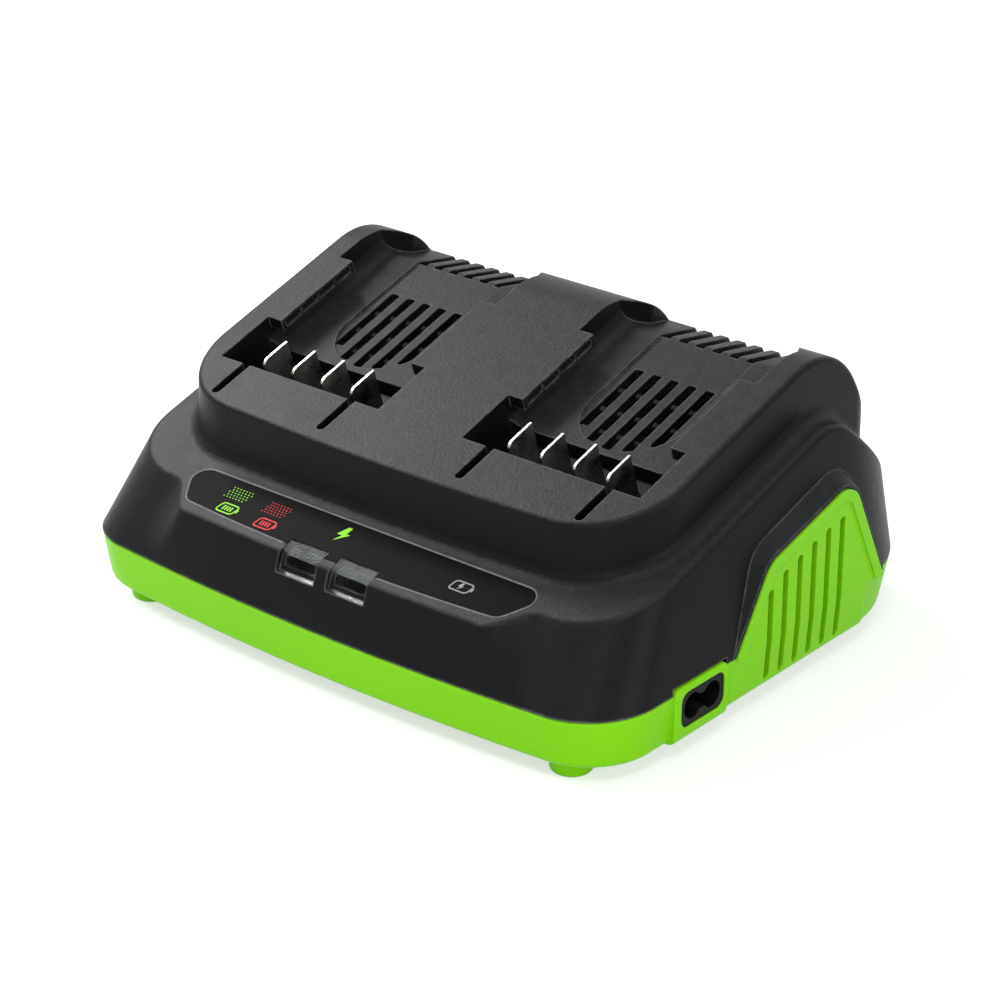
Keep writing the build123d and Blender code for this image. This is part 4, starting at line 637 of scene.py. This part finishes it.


# Each moulded finish: name, colour, deeper tone and the pale tone that worn edges, painted edge highlights and the
# painted top sheen lighten towards, roughness, specular level, size and depth of the grain, size of the patches and
# share of edge wear and painted edge highlight, then the rounding of edges and the share of painted top sheen where
# they aren't the usual ones
MOULDED = {
    # The charcoal's last value is its share of painted top sheen on faces that look up.
    Slot.CHARCOAL: (
        "charcoal_moulded", "0F1011", "0B0C0D", "727375", 0.38, 0.085, 0.0009, 0.00007, 0.05, 0.8, 0.0005, 0.15
    ),
    Slot.LIME: ("lime_moulded", "75C105", "6EBA04", "B4F64E", 0.4, 0.12, 0.0007, 0.00002, 0.09, 0.5),
    Slot.BLACK: ("black_moulded", "0D0D0E", "090909", "343537", 0.4, 0.1, 0.0006, 0.00002, 0.03, 0.4),
    Slot.LED: ("led_milky", "7C817A", "6A6F68", "C9CEC6", 0.3, 0.3, 0.0004, 0.00001, 0.004, 0.3),
    Slot.FERRITE: ("ferrite_grey", "3A3B3D", "2A2B2C", "56585A", 0.55, 0.4, 0.0003, 0.00004, 0.01, 0.5),
    Slot.TAPE: ("tape_yellow", "D9B21F", "C29A12", "EDD060", 0.35, 0.5, 0.0008, 0.00003, 0.008, 0.4),
    Slot.SLEEVE: ("sleeve_navy", "1B2A44", "141F33", "44597C", 0.3, 0.5, 0.0006, 0.00001, 0.01, 0.4),
    Slot.FILM: ("film_case_amber", "D8A21C", "C08A12", "F0C65A", 0.35, 0.5, 0.0005, 0.00001, 0.01, 0.4),
    Slot.FUSE: ("fuse_body", "CBB994", "B5A27C", "E8DCC0", 0.3, 0.5, 0.0003, 0.00001, 0.006, 0.3),
    Slot.LEAD: ("lead_red", "A3171B", "8A1014", "C9484B", 0.42, 0.5, 0.0006, 0.00001, 0.01, 0.3),
}
# Each metal finish: name, colour, duller tone, roughness, size and stretch of the drawn lines, then their depth and the
# rounding of edges where they aren't the usual ones
METALS = {
    Slot.TINNED: ("blade_tinned", "BAB8B3", "9C9994", 0.28, 0.0008, 8.0, 0.000004, 0.00008),
    Slot.STEEL: ("steel_plated", "DADDE0", "B4B7BA", 0.3, 0.0006, 6.0, 0.000004),
    Slot.COPPER: ("copper_enamelled", "B4622C", "7E3D18", 0.3, 0.0002, 4.0),
    Slot.ALUMINIUM: ("aluminium_plain", "B9BCC0", "94979B", 0.36, 0.0003, 18.0),
}
FINISHES = {
    Slot.PANEL: GlossSheet("panel_gloss", "0C0C0D", "111112"),
    Slot.CLEAR: ClearWindow("window_clear", "C4CAC8"),
    Slot.LAMINATE: Laminate("board_mask", "0C2C17", "1B4F2B"),
    **{slot: MouldedPlastic(*values) for slot, values in MOULDED.items()},
    **{slot: BareMetal(*values) for slot, values in METALS.items()},
}
# The bead's pale grey, lightened further at its edges, is a painted highlight of the rim round the panel.
HIGHLIT_BEAD = MouldedPlastic("charcoal_bead", "4C4D4F", "3E3F41", "98999B", 0.42, 0.35, 0.0006, 0.00001, 0.02, 0.6)
INK_GREEN = ScreenInk("ink_green", "85D31A", "6AB40F")
INK_RED = ScreenInk("ink_red", "D02024", "AC1418")
INK_GREY = ScreenInk("ink_grey", "8E9092", "737577", glow=0.0)

SLOT_NODES = {
    Slot.CHARCOAL: ("top_shell",),
    Slot.LIME: ("base_shell",),
    Slot.PANEL: ("status_panel",),
    Slot.CLEAR: ("left_lens", "right_lens"),
    Slot.TINNED: ("left_blades", "right_blades"),
    Slot.BLACK: (
        "left_contact_block", "right_contact_block", "inlet_body", "power_transistors", "fan_frame", "fan_rotor"
    ),
    Slot.STEEL: ("inlet_pins", "case_screws", "board_screws"),
    Slot.LAMINATE: ("main_board", "indicator_board"),
    Slot.LED: ("indicator_leds",),
    Slot.FERRITE: ("transformer_core",),
    Slot.TAPE: ("transformer_winding",),
    Slot.SLEEVE: ("bulk_capacitors",),
    Slot.COPPER: ("choke",),
    Slot.FILM: ("film_capacitor",),
    Slot.FUSE: ("fuse",),
    Slot.ALUMINIUM: ("primary_heat_sink", "secondary_heat_sink"),
    Slot.LEAD: ("left_leads", "right_leads"),
}
NODE_SLOTS = {name: slot for slot, names in SLOT_NODES.items() for name in names}


def in_scene(name: str, data: object) -> Object:
    """Make an object and link it to the scene.

    Args:
        name: its name.
        data: its mesh, light or camera.

    Returns:
        The new object.
    """
    thing = bpy.data.objects.new(name, data)
    bpy.context.scene.collection.objects.link(thing)
    return thing


def evaluated(holder: Object) -> Mesh:
    """Apply an object's modifiers and remove the object.

    Args:
        holder: the object.

    Returns:
        A plain mesh.
    """
    graph = bpy.context.evaluated_depsgraph_get()
    mesh = bpy.data.meshes.new_from_object(holder.evaluated_get(graph))
    bpy.data.objects.remove(holder)
    return mesh


class Workshop:
    """Keeps the built materials and puts finished pieces in the scene."""

    def __init__(self) -> None:
        """Build the shared effects first, then start with no materials."""
        make_effects()
        self.materials: dict[str, Material] = {}

    def material(self, finish: Finish) -> Material:
        """Return the material of a finish, built the first time it is asked for.

        Args:
            finish: the finish.

        Returns:
            Its material.
        """
        if finish.name not in self.materials:
            self.materials[finish.name] = finish.build()
        return self.materials[finish.name]

    def dress_node(self, node: Object, finish: Finish) -> None:
        """Give a node of the frame its finish.

        Args:
            node: the node's object.
            finish: the finish.
        """
        if not node.material_slots:
            node.data.materials.append(None)
        for slot in node.material_slots:
            slot.material = self.material(finish)

    def piece(self, name: str, mesh: Mesh, finish: Finish, slot: Slot, body: Body) -> Object:
        """Put a finished mesh in the scene as one piece that rides on a body.

        Args:
            name: the piece's name.
            mesh: its mesh, already in place.
            finish: its finish.
            slot: the record's slot; not used.
            body: the body that it rides on.

        Returns:
            The new object.
        """
        mesh.name = name
        mesh.materials.clear()
        mesh.materials.append(self.material(finish))
        piece = in_scene(name, mesh)
        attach(piece, body.value)
        LOG.info("%s: %d faces on %s", name, len(mesh.polygons), body.value)
        return piece


class NodeRig(NodeBench):
    """A Geometry Nodes tree with named inputs, run once to give a plain mesh."""

    def __init__(self, name: str, **inputs: float | None) -> None:
        """Start the tree with its named inputs.

        Args:
            name: the tree's name.
            inputs: default values by input name, with underscores for spaces.
        """
        super().__init__(bpy.data.node_groups.new(name, "GeometryNodeTree"))
        new_socket = self.tree.interface.new_socket
        self.names: dict[str, str] = {}
        for key, value in inputs.items():
            socket = new_socket(key.replace("_", " "), in_out="INPUT", socket_type=SOCKETS[type(value)])
            if value is not None:
                socket.default_value = value
            self.names[key] = socket.identifier
        self.names["Finish"] = new_socket("Finish", in_out="INPUT", socket_type="NodeSocketMaterial").identifier
        new_socket("Geometry", in_out="OUTPUT", socket_type="NodeSocketGeometry")
        self.given = self.add("NodeGroupInput").outputs

    def close(self, geometry: NodeSocket) -> None:
        """End the tree in Realize Instances and Set Material.

        Args:
            geometry: the made shape.
        """
        real = self.out("GeometryNodeRealizeInstances", {0: geometry})
        dressed = self.out("GeometryNodeSetMaterial", {0: real, "Material": self.given["Finish"]})
        self.add("NodeGroupOutput", {0: dressed})

    def run(self, material: Material, base: Mesh | None = None, **values: object) -> Mesh:
        """Evaluate the tree once.

        Args:
            material: the finish that Set Material gives.
            base: the mesh that the tree starts from, if it needs one.
            values: input values, with underscores for spaces.

        Returns:
            A plain mesh.
        """
        holder = in_scene("holder", base or bpy.data.meshes.new("holder"))
        modifier = holder.modifiers.new("rig", "NODES")
        modifier.node_group = self.tree
        modifier[self.names["Finish"]] = material
        for key, value in values.items():
            modifier[self.names[key]] = value
        return evaluated(holder)


@dataclass
class Shell:
    """One moulded half of the case, where edges that turn by more than the crease angle stay sharp."""

    node: str
    name: str
    crease: float = math.radians(32)

    def welded(self, node: Object) -> Mesh:
        """Copy a node's loose triangles into one welded mesh with smooth faces and sharp creases.

        Args:
            node: the node's object.

        Returns:
            The welded mesh.
        """
        work = bmesh.new()
        work.from_mesh(node.data)
        bmesh.ops.remove_doubles(work, verts=work.verts, dist=WELD_REACH)
        bmesh.ops.dissolve_degenerate(work, edges=work.edges, dist=SLIVER_REACH)
        for face in work.faces:
            face.smooth = True
        for edge in work.edges:
            edge.smooth = len(edge.link_faces) == 2 and edge.calc_face_angle(math.pi) < self.crease
        mesh = bpy.data.meshes.new(node.name + "_welded")
        work.to_mesh(mesh)
        work.free()
        holder = in_scene("holder", mesh)
        weighted = holder.modifiers.new("weighted", "WEIGHTED_NORMAL")
        weighted.keep_sharp = True
        weighted.mode = "FACE_AREA"
        return evaluated(holder)

    def build(self, shop: Workshop, nodes: dict[str, Object]) -> None:
        """Make the shell piece and hide its node.

        Args:
            shop: the workshop.
            nodes: the frame's nodes.
        """
        slot = NODE_SLOTS[self.node]
        piece = shop.piece(self.name, self.welded(nodes[self.node]), FINISHES[slot], slot, Body.HOUSING)
        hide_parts(self.node)


def prisms(outlines: list[list[Point]], low: float, high: float) -> BMesh:
    """Raise flat outlines into thin closed prisms.

    Args:
        outlines: closed outlines, anticlockwise.
        low: height of their undersides.
        high: height of their tops.

    Returns:
        One mesh that holds them all.
    """
    work = bmesh.new()
    for outline in outlines:
        below = [work.verts.new((x, y, low)) for x, y in outline]
        above = [work.verts.new((x, y, high)) for x, y in outline]
        work.faces.new(above)
        work.faces.new(list(reversed(below)))
        for index in range(len(outline)):
            after = (index + 1) % len(outline)
            work.faces.new((below[index], below[after], above[after], above[index]))
    bmesh.ops.recalc_face_normals(work, faces=work.faces)
    return work


def ribbon(path: list[Point], width: float) -> list[list[Point]]:
    """Cut a path of one width into quads.

    Args:
        path: the middle line's points.
        width: the ribbon's width.

    Returns:
        One quad for each run.
    """
    sides = []
    for index, (x, y) in enumerate(path):
        before = path[max(index - 1, 0)]
        after = path[min(index + 1, len(path) - 1)]
        run = Vector((after[0] - before[0], after[1] - before[1])).normalized()
        off = Vector((-run.y, run.x)) * width / 2
        sides.append(((x + off.x, y + off.y), (x - off.x, y - off.y)))
    return [[a[1], b[1], b[0], a[0]] for a, b in zip(sides, sides[1:])]


def arc(centre: Point, radius: float, start: float, end: float, steps: int) -> list[Point]:
    """Return the points of an arc between two angles in degrees, cut into runs."""
    turns = [math.radians(start + (end - start) * step / steps) for step in range(steps + 1)]
    return [(centre[0] + radius * math.cos(turn), centre[1] + radius * math.sin(turn)) for turn in turns]


def rounded(before: Point, corner: Point, after: Point, radius: float, steps: int = 8) -> list[Point]:
    """Round one corner of a path.

    Args:
        before: the point before the corner.
        corner: the corner.
        after: the point after the corner.
        radius: the rounding's radius.
        steps: how many runs.

    Returns:
        Points along the rounding.
    """
    back = (Vector(before) - Vector(corner)).normalized()
    ahead = (Vector(after) - Vector(corner)).normalized()
    half = back.angle(ahead) / 2
    reach = radius / math.tan(half)
    middle = Vector(corner) + (back + ahead).normalized() * radius / math.sin(half)
    start = (Vector(corner) + back * reach - middle).normalized()
    end = (Vector(corner) + ahead * reach - middle).normalized()
    points = [middle + start.slerp(end, step / steps).normalized() * radius for step in range(steps + 1)]
    return [(point.x, point.y) for point in points]


@dataclass
class PanelPrint:
    """The bead round the panel and its printed marks, in millimetres on the sloped ledge."""

    ledge_height: float = 63.4
    slope: float = math.radians(17.5)
    front: float = -79.0
    rear: float = -62.9
    front_half: float = 59.3
    rear_half: float = 68.3
    bow: float = 2.2
    inset: float = -0.2
    corner: float = 4.7
    bead: float = 0.36
    bead_sink: float = 0.12
    bead_sides: int = 10
    gap_half: float = 17.9
    path_steps: int = 14
    ink_low: float = 0.004
    ink_high: float = 0.03
    lean: float = 0.18
    dot_pitch: float = 1.2
    dot_radius: float = 0.23
    dot_sides: int = 10
    dot_columns: int = 7
    dot_rows: int = 5
    row_share: float = 0.866
    line_width: float = 0.45
    battery_width: float = 6.3
    battery_height: float = 3.7
    battery_corner: float = 1.0
    corner_steps: int = 4
    cap_near: float = 0.35
    cap_far: float = 0.9
    cap_half: float = 0.7
    bar_count: int = 4
    bar_pitch: float = 1.0
    bar_width: float = 0.5
    bar_height: float = 1.9
    charged_dots_at: Point = (-45.6, -68.3)
    charged_battery_at: Point = (-44.3, -74.6)
    fault_dots_at: Point = (-30.0, -68.7)
    fault_battery_at: Point = (-28.9, -75.0)
    bolt_at: Point = (-4.0, -68.5)
    bolt_height: float = 6.4
    plain_battery_at: Point = (42.0, -71.0)
    small_bolt_at: Point = (41.8, -71.0)
    small_bolt_height: float = 2.9

    def on_ledge(self) -> Matrix:
        """Return the turn and shift from panel millimetres to scene metres."""
        turn = Matrix.Rotation(self.slope, 4, "X") @ Matrix.Scale(MM, 4)
        return Matrix.Translation((0, 0, self.ledge_height * MM)) @ turn

    def front_y(self, x: float) -> float:
        """Return where the panel's front line is at one x."""
        return self.front + self.inset + self.bow * (x / self.front_half) ** 2

    def frame_path(self) -> list[Point]:
        """Draw the bead's path round the panel, open where the light windows stand.

        Returns:
            Its points.
        """
        run = Vector((self.rear_half - self.front_half, self.rear - self.front - self.bow)).normalized()
        lean = run.x / run.y
        side_x = self.front_half - self.inset / run.y - lean * self.bow
        rear_y = self.rear - self.inset
        rear_corner = (side_x + lean * (rear_y - self.front), rear_y)
        low_x = side_x + lean * (self.inset + self.bow)
        front_corner = (low_x, self.front_y(low_x))
        reach = low_x - self.corner - self.gap_half
        stations = [self.gap_half + reach * step / self.path_steps for step in range(self.path_steps + 1)]
        right = [(x, self.front_y(x)) for x in stations]
        right += rounded(right[-1], front_corner, rear_corner, self.corner)
        right += rounded(front_corner, rear_corner, (0.0, rear_y), self.corner)
        return right + [(0.0, rear_y)] + [(-x, y) for x, y in reversed(right)]

    def bead_rig(self) -> NodeRig:
        """Build the tree that runs a round bead along a path.

        Returns:
            The closed tree.
        """
        rig = NodeRig(
            "bead_on_path",
            Path=None,
            Bead_Radius=self.bead,
            Sides=self.bead_sides,
        )
        given = rig.given
        line = rig.out("GeometryNodeMeshToCurve", {0: given["Path"]})
        circle = {"Resolution": given["Sides"], "Radius": given["Bead Radius"]}
        profile = rig.out("GeometryNodeCurvePrimitiveCircle", circle)
        rig.close(rig.out("GeometryNodeCurveToMesh", {"Curve": line, "Profile Curve": profile, "Fill Caps": True}))
        return rig

    def battery(self, centre: Point) -> list[list[Point]]:
        """Return the outlines of a battery pictogram's case and end cap.

        Args:
            centre: the pictogram's middle.

        Returns:
            Closed outlines.
        """
        turn = self.battery_corner
        reach_x, reach_y = self.battery_width / 2 - turn, self.battery_height / 2 - turn
        path = []
        for quarter, (side, level) in enumerate(((1, 1), (-1, 1), (-1, -1), (1, -1))):
            start, end = RIGHT_ANGLE * quarter, RIGHT_ANGLE * (quarter + 1)
            path += arc((side * reach_x, level * reach_y), turn, start, end, self.corner_steps)
        path = [self.leaned(point, centre) for point in path + path[:1]]
        near, far = self.battery_width / 2 + self.cap_near, self.battery_width / 2 + self.cap_far
        cap = [(near, -self.cap_half), (far, -self.cap_half), (far, self.cap_half), (near, self.cap_half)]
        return ribbon(path, self.line_width) + [[self.leaned(point, centre) for point in cap]]

    def bolt(self, centre: Point, size: float) -> list[list[Point]]:
        """Return a lightning bolt pictogram.

        Args:
            centre: its middle.
            size: its height.

        Returns:
            Closed outlines.
        """
        upper = [(-0.16, 0.5), (-0.32, -0.06), (0.02, -0.06), (0.1, 0.08), (0.06, 0.5)]
        lower = [(-0.02, -0.06), (-0.14, -0.5), (0.32, 0.08), (0.1, 0.08)]
        return [[self.leaned((x * size, y * size), centre) for x, y in shape] for shape in (upper, lower)]

    def leaned(self, point: Point, centre: Point) -> Point:
        """Lean a point of a mark and move it to the mark's middle."""
        return (centre[0] + point[0] + self.lean * point[1], centre[1] + point[1])

    def dot_rig(self) -> NodeRig:
        """Build the tree that makes a staggered field of round dots.

        Returns:
            The closed tree.
        """
        rig = NodeRig(
            "dot_field",
            Columns=self.dot_columns,
            Rows=self.dot_rows,
            Pitch=self.dot_pitch,
            Dot_Radius=self.dot_radius,
            Ink=self.ink_high,
            Lean=self.lean,
        )
        given = rig.given
        across = rig.times(given["Pitch"], rig.math("SUBTRACT", given["Columns"], 1.0))
        row_pitch = rig.times(given["Pitch"], self.row_share)
        tall = rig.times(row_pitch, rig.math("SUBTRACT", given["Rows"], 1.0))
        spans = {"Size X": across, "Size Y": tall, "Vertices X": given["Columns"], "Vertices Y": given["Rows"]}
        grid = rig.out("GeometryNodeMeshGrid", spans)
        place = rig.add("ShaderNodeSeparateXYZ", {0: rig.out("GeometryNodeInputPosition")}).outputs["Y"]
        row = rig.math("MODULO", rig.out("GeometryNodeInputIndex"), given["Rows"])
        stagger = rig.times(rig.times(rig.math("MODULO", row, 2.0), 0.5), given["Pitch"])
        shift = rig.math("ADD", stagger, rig.times(place, given["Lean"]))
        offset = rig.out("ShaderNodeCombineXYZ", {"X": shift})
        moved = rig.out("GeometryNodeSetPosition", {0: grid, "Offset": offset})
        disc = {"Vertices": self.dot_sides, "Radius": given["Dot Radius"], "Depth": given["Ink"]}
        dot = rig.out("GeometryNodeMeshCylinder", disc)
        rig.close(rig.out("GeometryNodeInstanceOnPoints", {0: moved, "Instance": dot}))
        return rig

    def bar_rig(self) -> NodeRig:
        """Build the tree that makes a row of charge level bars.

        Returns:
            The closed tree.
        """
        rig = NodeRig(
            "level_bars",
            Count=self.bar_count,
            Pitch=self.bar_pitch,
            Bar_Width=self.bar_width,
            Bar_Height=self.bar_height,
            Ink=self.ink_high,
        )
        given = rig.given
        step = rig.out("ShaderNodeCombineXYZ", {"X": given["Pitch"]})
        row = rig.out("GeometryNodeMeshLine", {"Count": given["Count"], "Offset": step})
        size = rig.out("ShaderNodeCombineXYZ", {"X": given["Bar Width"], "Y": given["Bar Height"], "Z": given["Ink"]})
        bar = rig.out("GeometryNodeMeshCube", {"Size": size})
        rig.close(rig.out("GeometryNodeInstanceOnPoints", {0: row, "Instance": bar}))
        return rig

    def mark(self, shop: Workshop, ink: ScreenInk, dots_at: Point, cell_at: Point) -> BMesh:
        """Join one state mark: a dot field over a battery pictogram.

        Args:
            shop: the workshop.
            ink: the ink that it is printed in.
            dots_at: the dot field's middle.
            cell_at: the battery's middle.

        Returns:
            The mark in panel millimetres.
        """
        work = prisms(self.battery(cell_at), self.ink_low, self.ink_high)
        first_bar = (cell_at[0] - self.bar_pitch * (self.bar_count - 1) / 2, cell_at[1])
        for rig, place in ((self.dot_rig(), dots_at), (self.bar_rig(), first_bar)):
            mesh = rig.run(shop.material(ink))
            mesh.transform(Matrix.Translation((*place, self.ink_high / 2 + self.ink_low)))
            work.from_mesh(mesh)
        return work

    def build(self, shop: Workshop) -> None:
        """Make the bead and the printed pieces.

        Args:
            shop: the workshop.
        """
        path = [(x, y, -self.bead_sink) for x, y in self.frame_path()]
        line = bpy.data.meshes.new("bead_path")
        line.from_pydata(path, [(index, index + 1) for index in range(len(path) - 1)], [])
        # The bead takes its painted-highlight finish.
        bead = self.bead_rig().run(shop.material(HIGHLIT_BEAD), line)
        bead.shade_smooth()
        bead.transform(self.on_ledge())
        shop.piece("panel_bead", bead, HIGHLIT_BEAD, Slot.CHARCOAL, Body.HOUSING)
        green = self.mark(shop, INK_GREEN, self.charged_dots_at, self.charged_battery_at)
        red = self.mark(shop, INK_RED, self.fault_dots_at, self.fault_battery_at)
        bolts = prisms(self.bolt(self.bolt_at, self.bolt_height), self.ink_low, self.ink_high)
        outlines = self.battery(self.plain_battery_at) + self.bolt(self.small_bolt_at, self.small_bolt_height)
        plain = prisms(outlines, self.ink_low, self.ink_high)
        for name, work, ink in (
            ("charged_mark", green, INK_GREEN),
            ("fault_mark", red, INK_RED),
            ("charge_bolt_mark", bolts, INK_GREEN),
            ("battery_mark", plain, INK_GREY),
        ):
            mesh = bpy.data.meshes.new(name)
            work.to_mesh(mesh)
            work.free()
            mesh.transform(self.on_ledge())
            shop.piece(name, mesh, ink, Slot.PANEL, Body.HOUSING)


@dataclass
class Electronics:
    """The solder joints under the main board, in millimetres."""

    joint_radius: float = 0.9
    joint_height: float = 0.7
    joint_pitch: float = 8.0
    joint_share: float = 0.55
    joint_sides: int = 10
    joint_rings: int = 2
    tip_share: float = 0.4
    board_length_share: float = 0.8
    board_depth_share: float = 0.72
    seed: int = 7

    def solder_rig(self) -> NodeRig:
        """Build the tree that scatters solder joints over a board.

        Returns:
            The closed tree.
        """
        rig = NodeRig(
            "solder_joints",
            Length=0.1,
            Depth=0.1,
            Pitch=self.joint_pitch * MM,
            Joint_Radius=self.joint_radius * MM,
            Joint_Height=self.joint_height * MM,
            Share=self.joint_share,
            Seed=self.seed,
        )
        given = rig.given
        columns = rig.math("DIVIDE", given["Length"], given["Pitch"])
        rows = rig.math("DIVIDE", given["Depth"], given["Pitch"])
        spans = {"Size X": given["Length"], "Size Y": given["Depth"], "Vertices X": columns, "Vertices Y": rows}
        grid = rig.out("GeometryNodeMeshGrid", spans)
        odds = {"Probability": given["Share"], "Seed": given["Seed"]}
        keep = rig.add("FunctionNodeRandomValue", odds, data_type="BOOLEAN").outputs[BOOLEAN_RESULT]
        cone = {
            "Vertices": self.joint_sides,
            "Side Segments": self.joint_rings,
            "Radius Top": rig.times(given["Joint Radius"], self.tip_share),
            "Radius Bottom": given["Joint Radius"],
            "Depth": given["Joint Height"],
        }
        joint = rig.out("GeometryNodeMeshCone", cone)
        rig.close(rig.out("GeometryNodeInstanceOnPoints", {0: grid, "Selection": keep, "Instance": joint}))
        return rig

    def build(self, shop: Workshop) -> None:
        """Put solder joints under the main board.

        Args:
            shop: the workshop.
        """
        low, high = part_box("main_board")
        tin = FINISHES[Slot.TINNED]
        length = (high.x - low.x) * self.board_length_share
        depth = (high.y - low.y) * self.board_depth_share
        mesh = self.solder_rig().run(shop.material(tin), Length=length, Depth=depth)
        mesh.transform(Matrix.Scale(-1, 4, (0, 0, 1)))
        mesh.flip_normals()
        middle = (low + high) / 2
        mesh.transform(Matrix.Translation((middle.x, middle.y, low.z)))
        mesh.shade_smooth()
        shop.piece("solder_joints", mesh, tin, Slot.TINNED, Body.HOUSING)


@dataclass(frozen=True)
class Lamp:
    """One soft lamp: where it hangs, its width and height in metres, and its power in watts."""

    name: str
    place: Place
    size: tuple[float, float]
    power: float

    def hang(self) -> None:
        """Put the lamp in the scene, turned to the middle of the object."""
        data = bpy.data.lights.new(self.name, "AREA")
        data.shape = "RECTANGLE"
        data.size, data.size_y = self.size
        data.energy = self.power
        lamp = in_scene(self.name, data)
        aim = Vector((0, 0, AIM_HEIGHT)) - Vector(self.place)
        lamp.matrix_world = Matrix.Translation(self.place) @ aim.to_track_quat("-Z", "Y").to_matrix().to_4x4()


LAMPS = (
    Lamp("overhead_softbox", (-0.66, 0.06, 0.72), (0.5, 0.36), 7.2),
    Lamp("crease_strip", (-0.72, -0.52, 0.8), (0.5, 0.1), 4.6),
    Lamp("corner_strip", (0.78, -1.0, 0.26), (0.14, 0.5), 3.0),
    Lamp("front_strip", (0.08, -1.35, 0.28), (0.22, 0.5), 0.9),
    Lamp("right_softbox", (1.35, 0.0, 0.5), (0.7, 0.7), 6.0),
    Lamp("shoulder_strip", (0.42, -0.5, 0.86), (0.3, 0.16), 2.6),
)


@dataclass
class Studio:
    """Pale floor, even light and the camera, in metres and degrees."""

    floor_half: float = 1.2
    floor_tone: float = 0.8
    floor_seen_tone: float = 0.5
    floor_seen_lift: float = 0.6
    world_light: float = 0.5
    camera_at: Place = (0.519807, -0.620574, 0.407530)
    azimuth: float = 40.008
    elevation: float = 24.911
    lens: float = 107.63
    sensor: float = 36.0

    def seen(self, bench: NodeBench) -> NodeSocket:
        """Tell rays from the camera, gloss or glass from the rest.

        Args:
            bench: the tree's bench.

        Returns:
            A socket that is 1 for them and 0 for the rest.
        """
        path = bench.add("ShaderNodeLightPath").outputs
        both = bench.math("MAXIMUM", path["Is Camera Ray"], path["Is Glossy Ray"])
        return bench.math("MAXIMUM", both, path["Is Transmission Ray"])

    def floor(self) -> None:
        """Make the floor: white to look at, and it keeps the object's shadow."""
        mesh = bpy.data.meshes.new("studio_floor")
        half = self.floor_half
        corners = [(-half, -half, 0), (half, -half, 0), (half, half, 0), (-half, half, 0)]
        mesh.from_pydata(corners, [], [(0, 1, 2, 3)])
        floor = in_scene("studio_floor", mesh)
        material = bpy.data.materials.new("floor_white")
        bench = emptied(material)
        seen = self.seen(bench)
        tone = bench.blend(seen, (self.floor_tone,) * 3, (self.floor_seen_tone,) * 3)
        paint = bench.out("ShaderNodeBsdfDiffuse", {"Color": tone})
        lift = bench.out("ShaderNodeEmission", {"Strength": bench.times(seen, self.floor_seen_lift)})
        bench.add("ShaderNodeOutputMaterial", {"Surface": bench.out("ShaderNodeAddShader", {0: paint, 1: lift})})
        mesh.materials.append(material)

    def world(self) -> None:
        """Light the scene evenly from all round, white where it is seen."""
        world = bpy.data.worlds.new("studio_world")
        bench = emptied(world)
        strength = bench.spread(self.seen(bench), UNIT, self.world_light)
        sky = bench.out("ShaderNodeBackground", {"Color": (1.0, 1.0, 1.0), "Strength": strength})
        bench.add("ShaderNodeOutputWorld", {"Surface": sky})
        bpy.context.scene.world = world

    def camera(self) -> None:
        """Place the camera by its azimuth and elevation."""
        turn, rise = math.radians(self.azimuth), math.radians(self.elevation)
        back = Vector((math.sin(turn) * math.cos(rise), -math.cos(turn) * math.cos(rise), math.sin(rise)))
        right = Vector((math.cos(turn), math.sin(turn), 0))
        up = back.cross(right)
        data = bpy.data.cameras.new("studio_camera")
        data.lens = self.lens
        data.sensor_width = self.sensor
        camera = in_scene("studio_camera", data)
        axes = Matrix((right, up, back)).transposed().to_4x4()
        camera.matrix_world = Matrix.Translation(self.camera_at) @ axes
        bpy.context.scene.camera = camera

    def build(self) -> None:
        """Set up the whole studio."""
        bpy.context.scene.view_settings.view_transform = "Standard"
        self.floor()
        self.world()
        self.camera()
        for lamp in LAMPS:
            lamp.hang()


def main() -> None:
    """Build the charger's pieces in order and report each one."""
    logging.basicConfig(level=logging.INFO, format="%(name)s %(message)s")
    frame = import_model()
    shop = Workshop()
    Studio().build()
    nodes = frame["nodes"]
    for name, slot in NODE_SLOTS.items():
        shop.dress_node(nodes[name], FINISHES[slot])
        LOG.info("%s: finish %s", name, FINISHES[slot].name)
    Shell("top_shell", "upper_case").build(shop, nodes)
    Shell("base_shell", "lower_tray").build(shop, nodes)
    PanelPrint().build(shop)
    Electronics().build(shop)


if __name__ == "__main__":
    main()
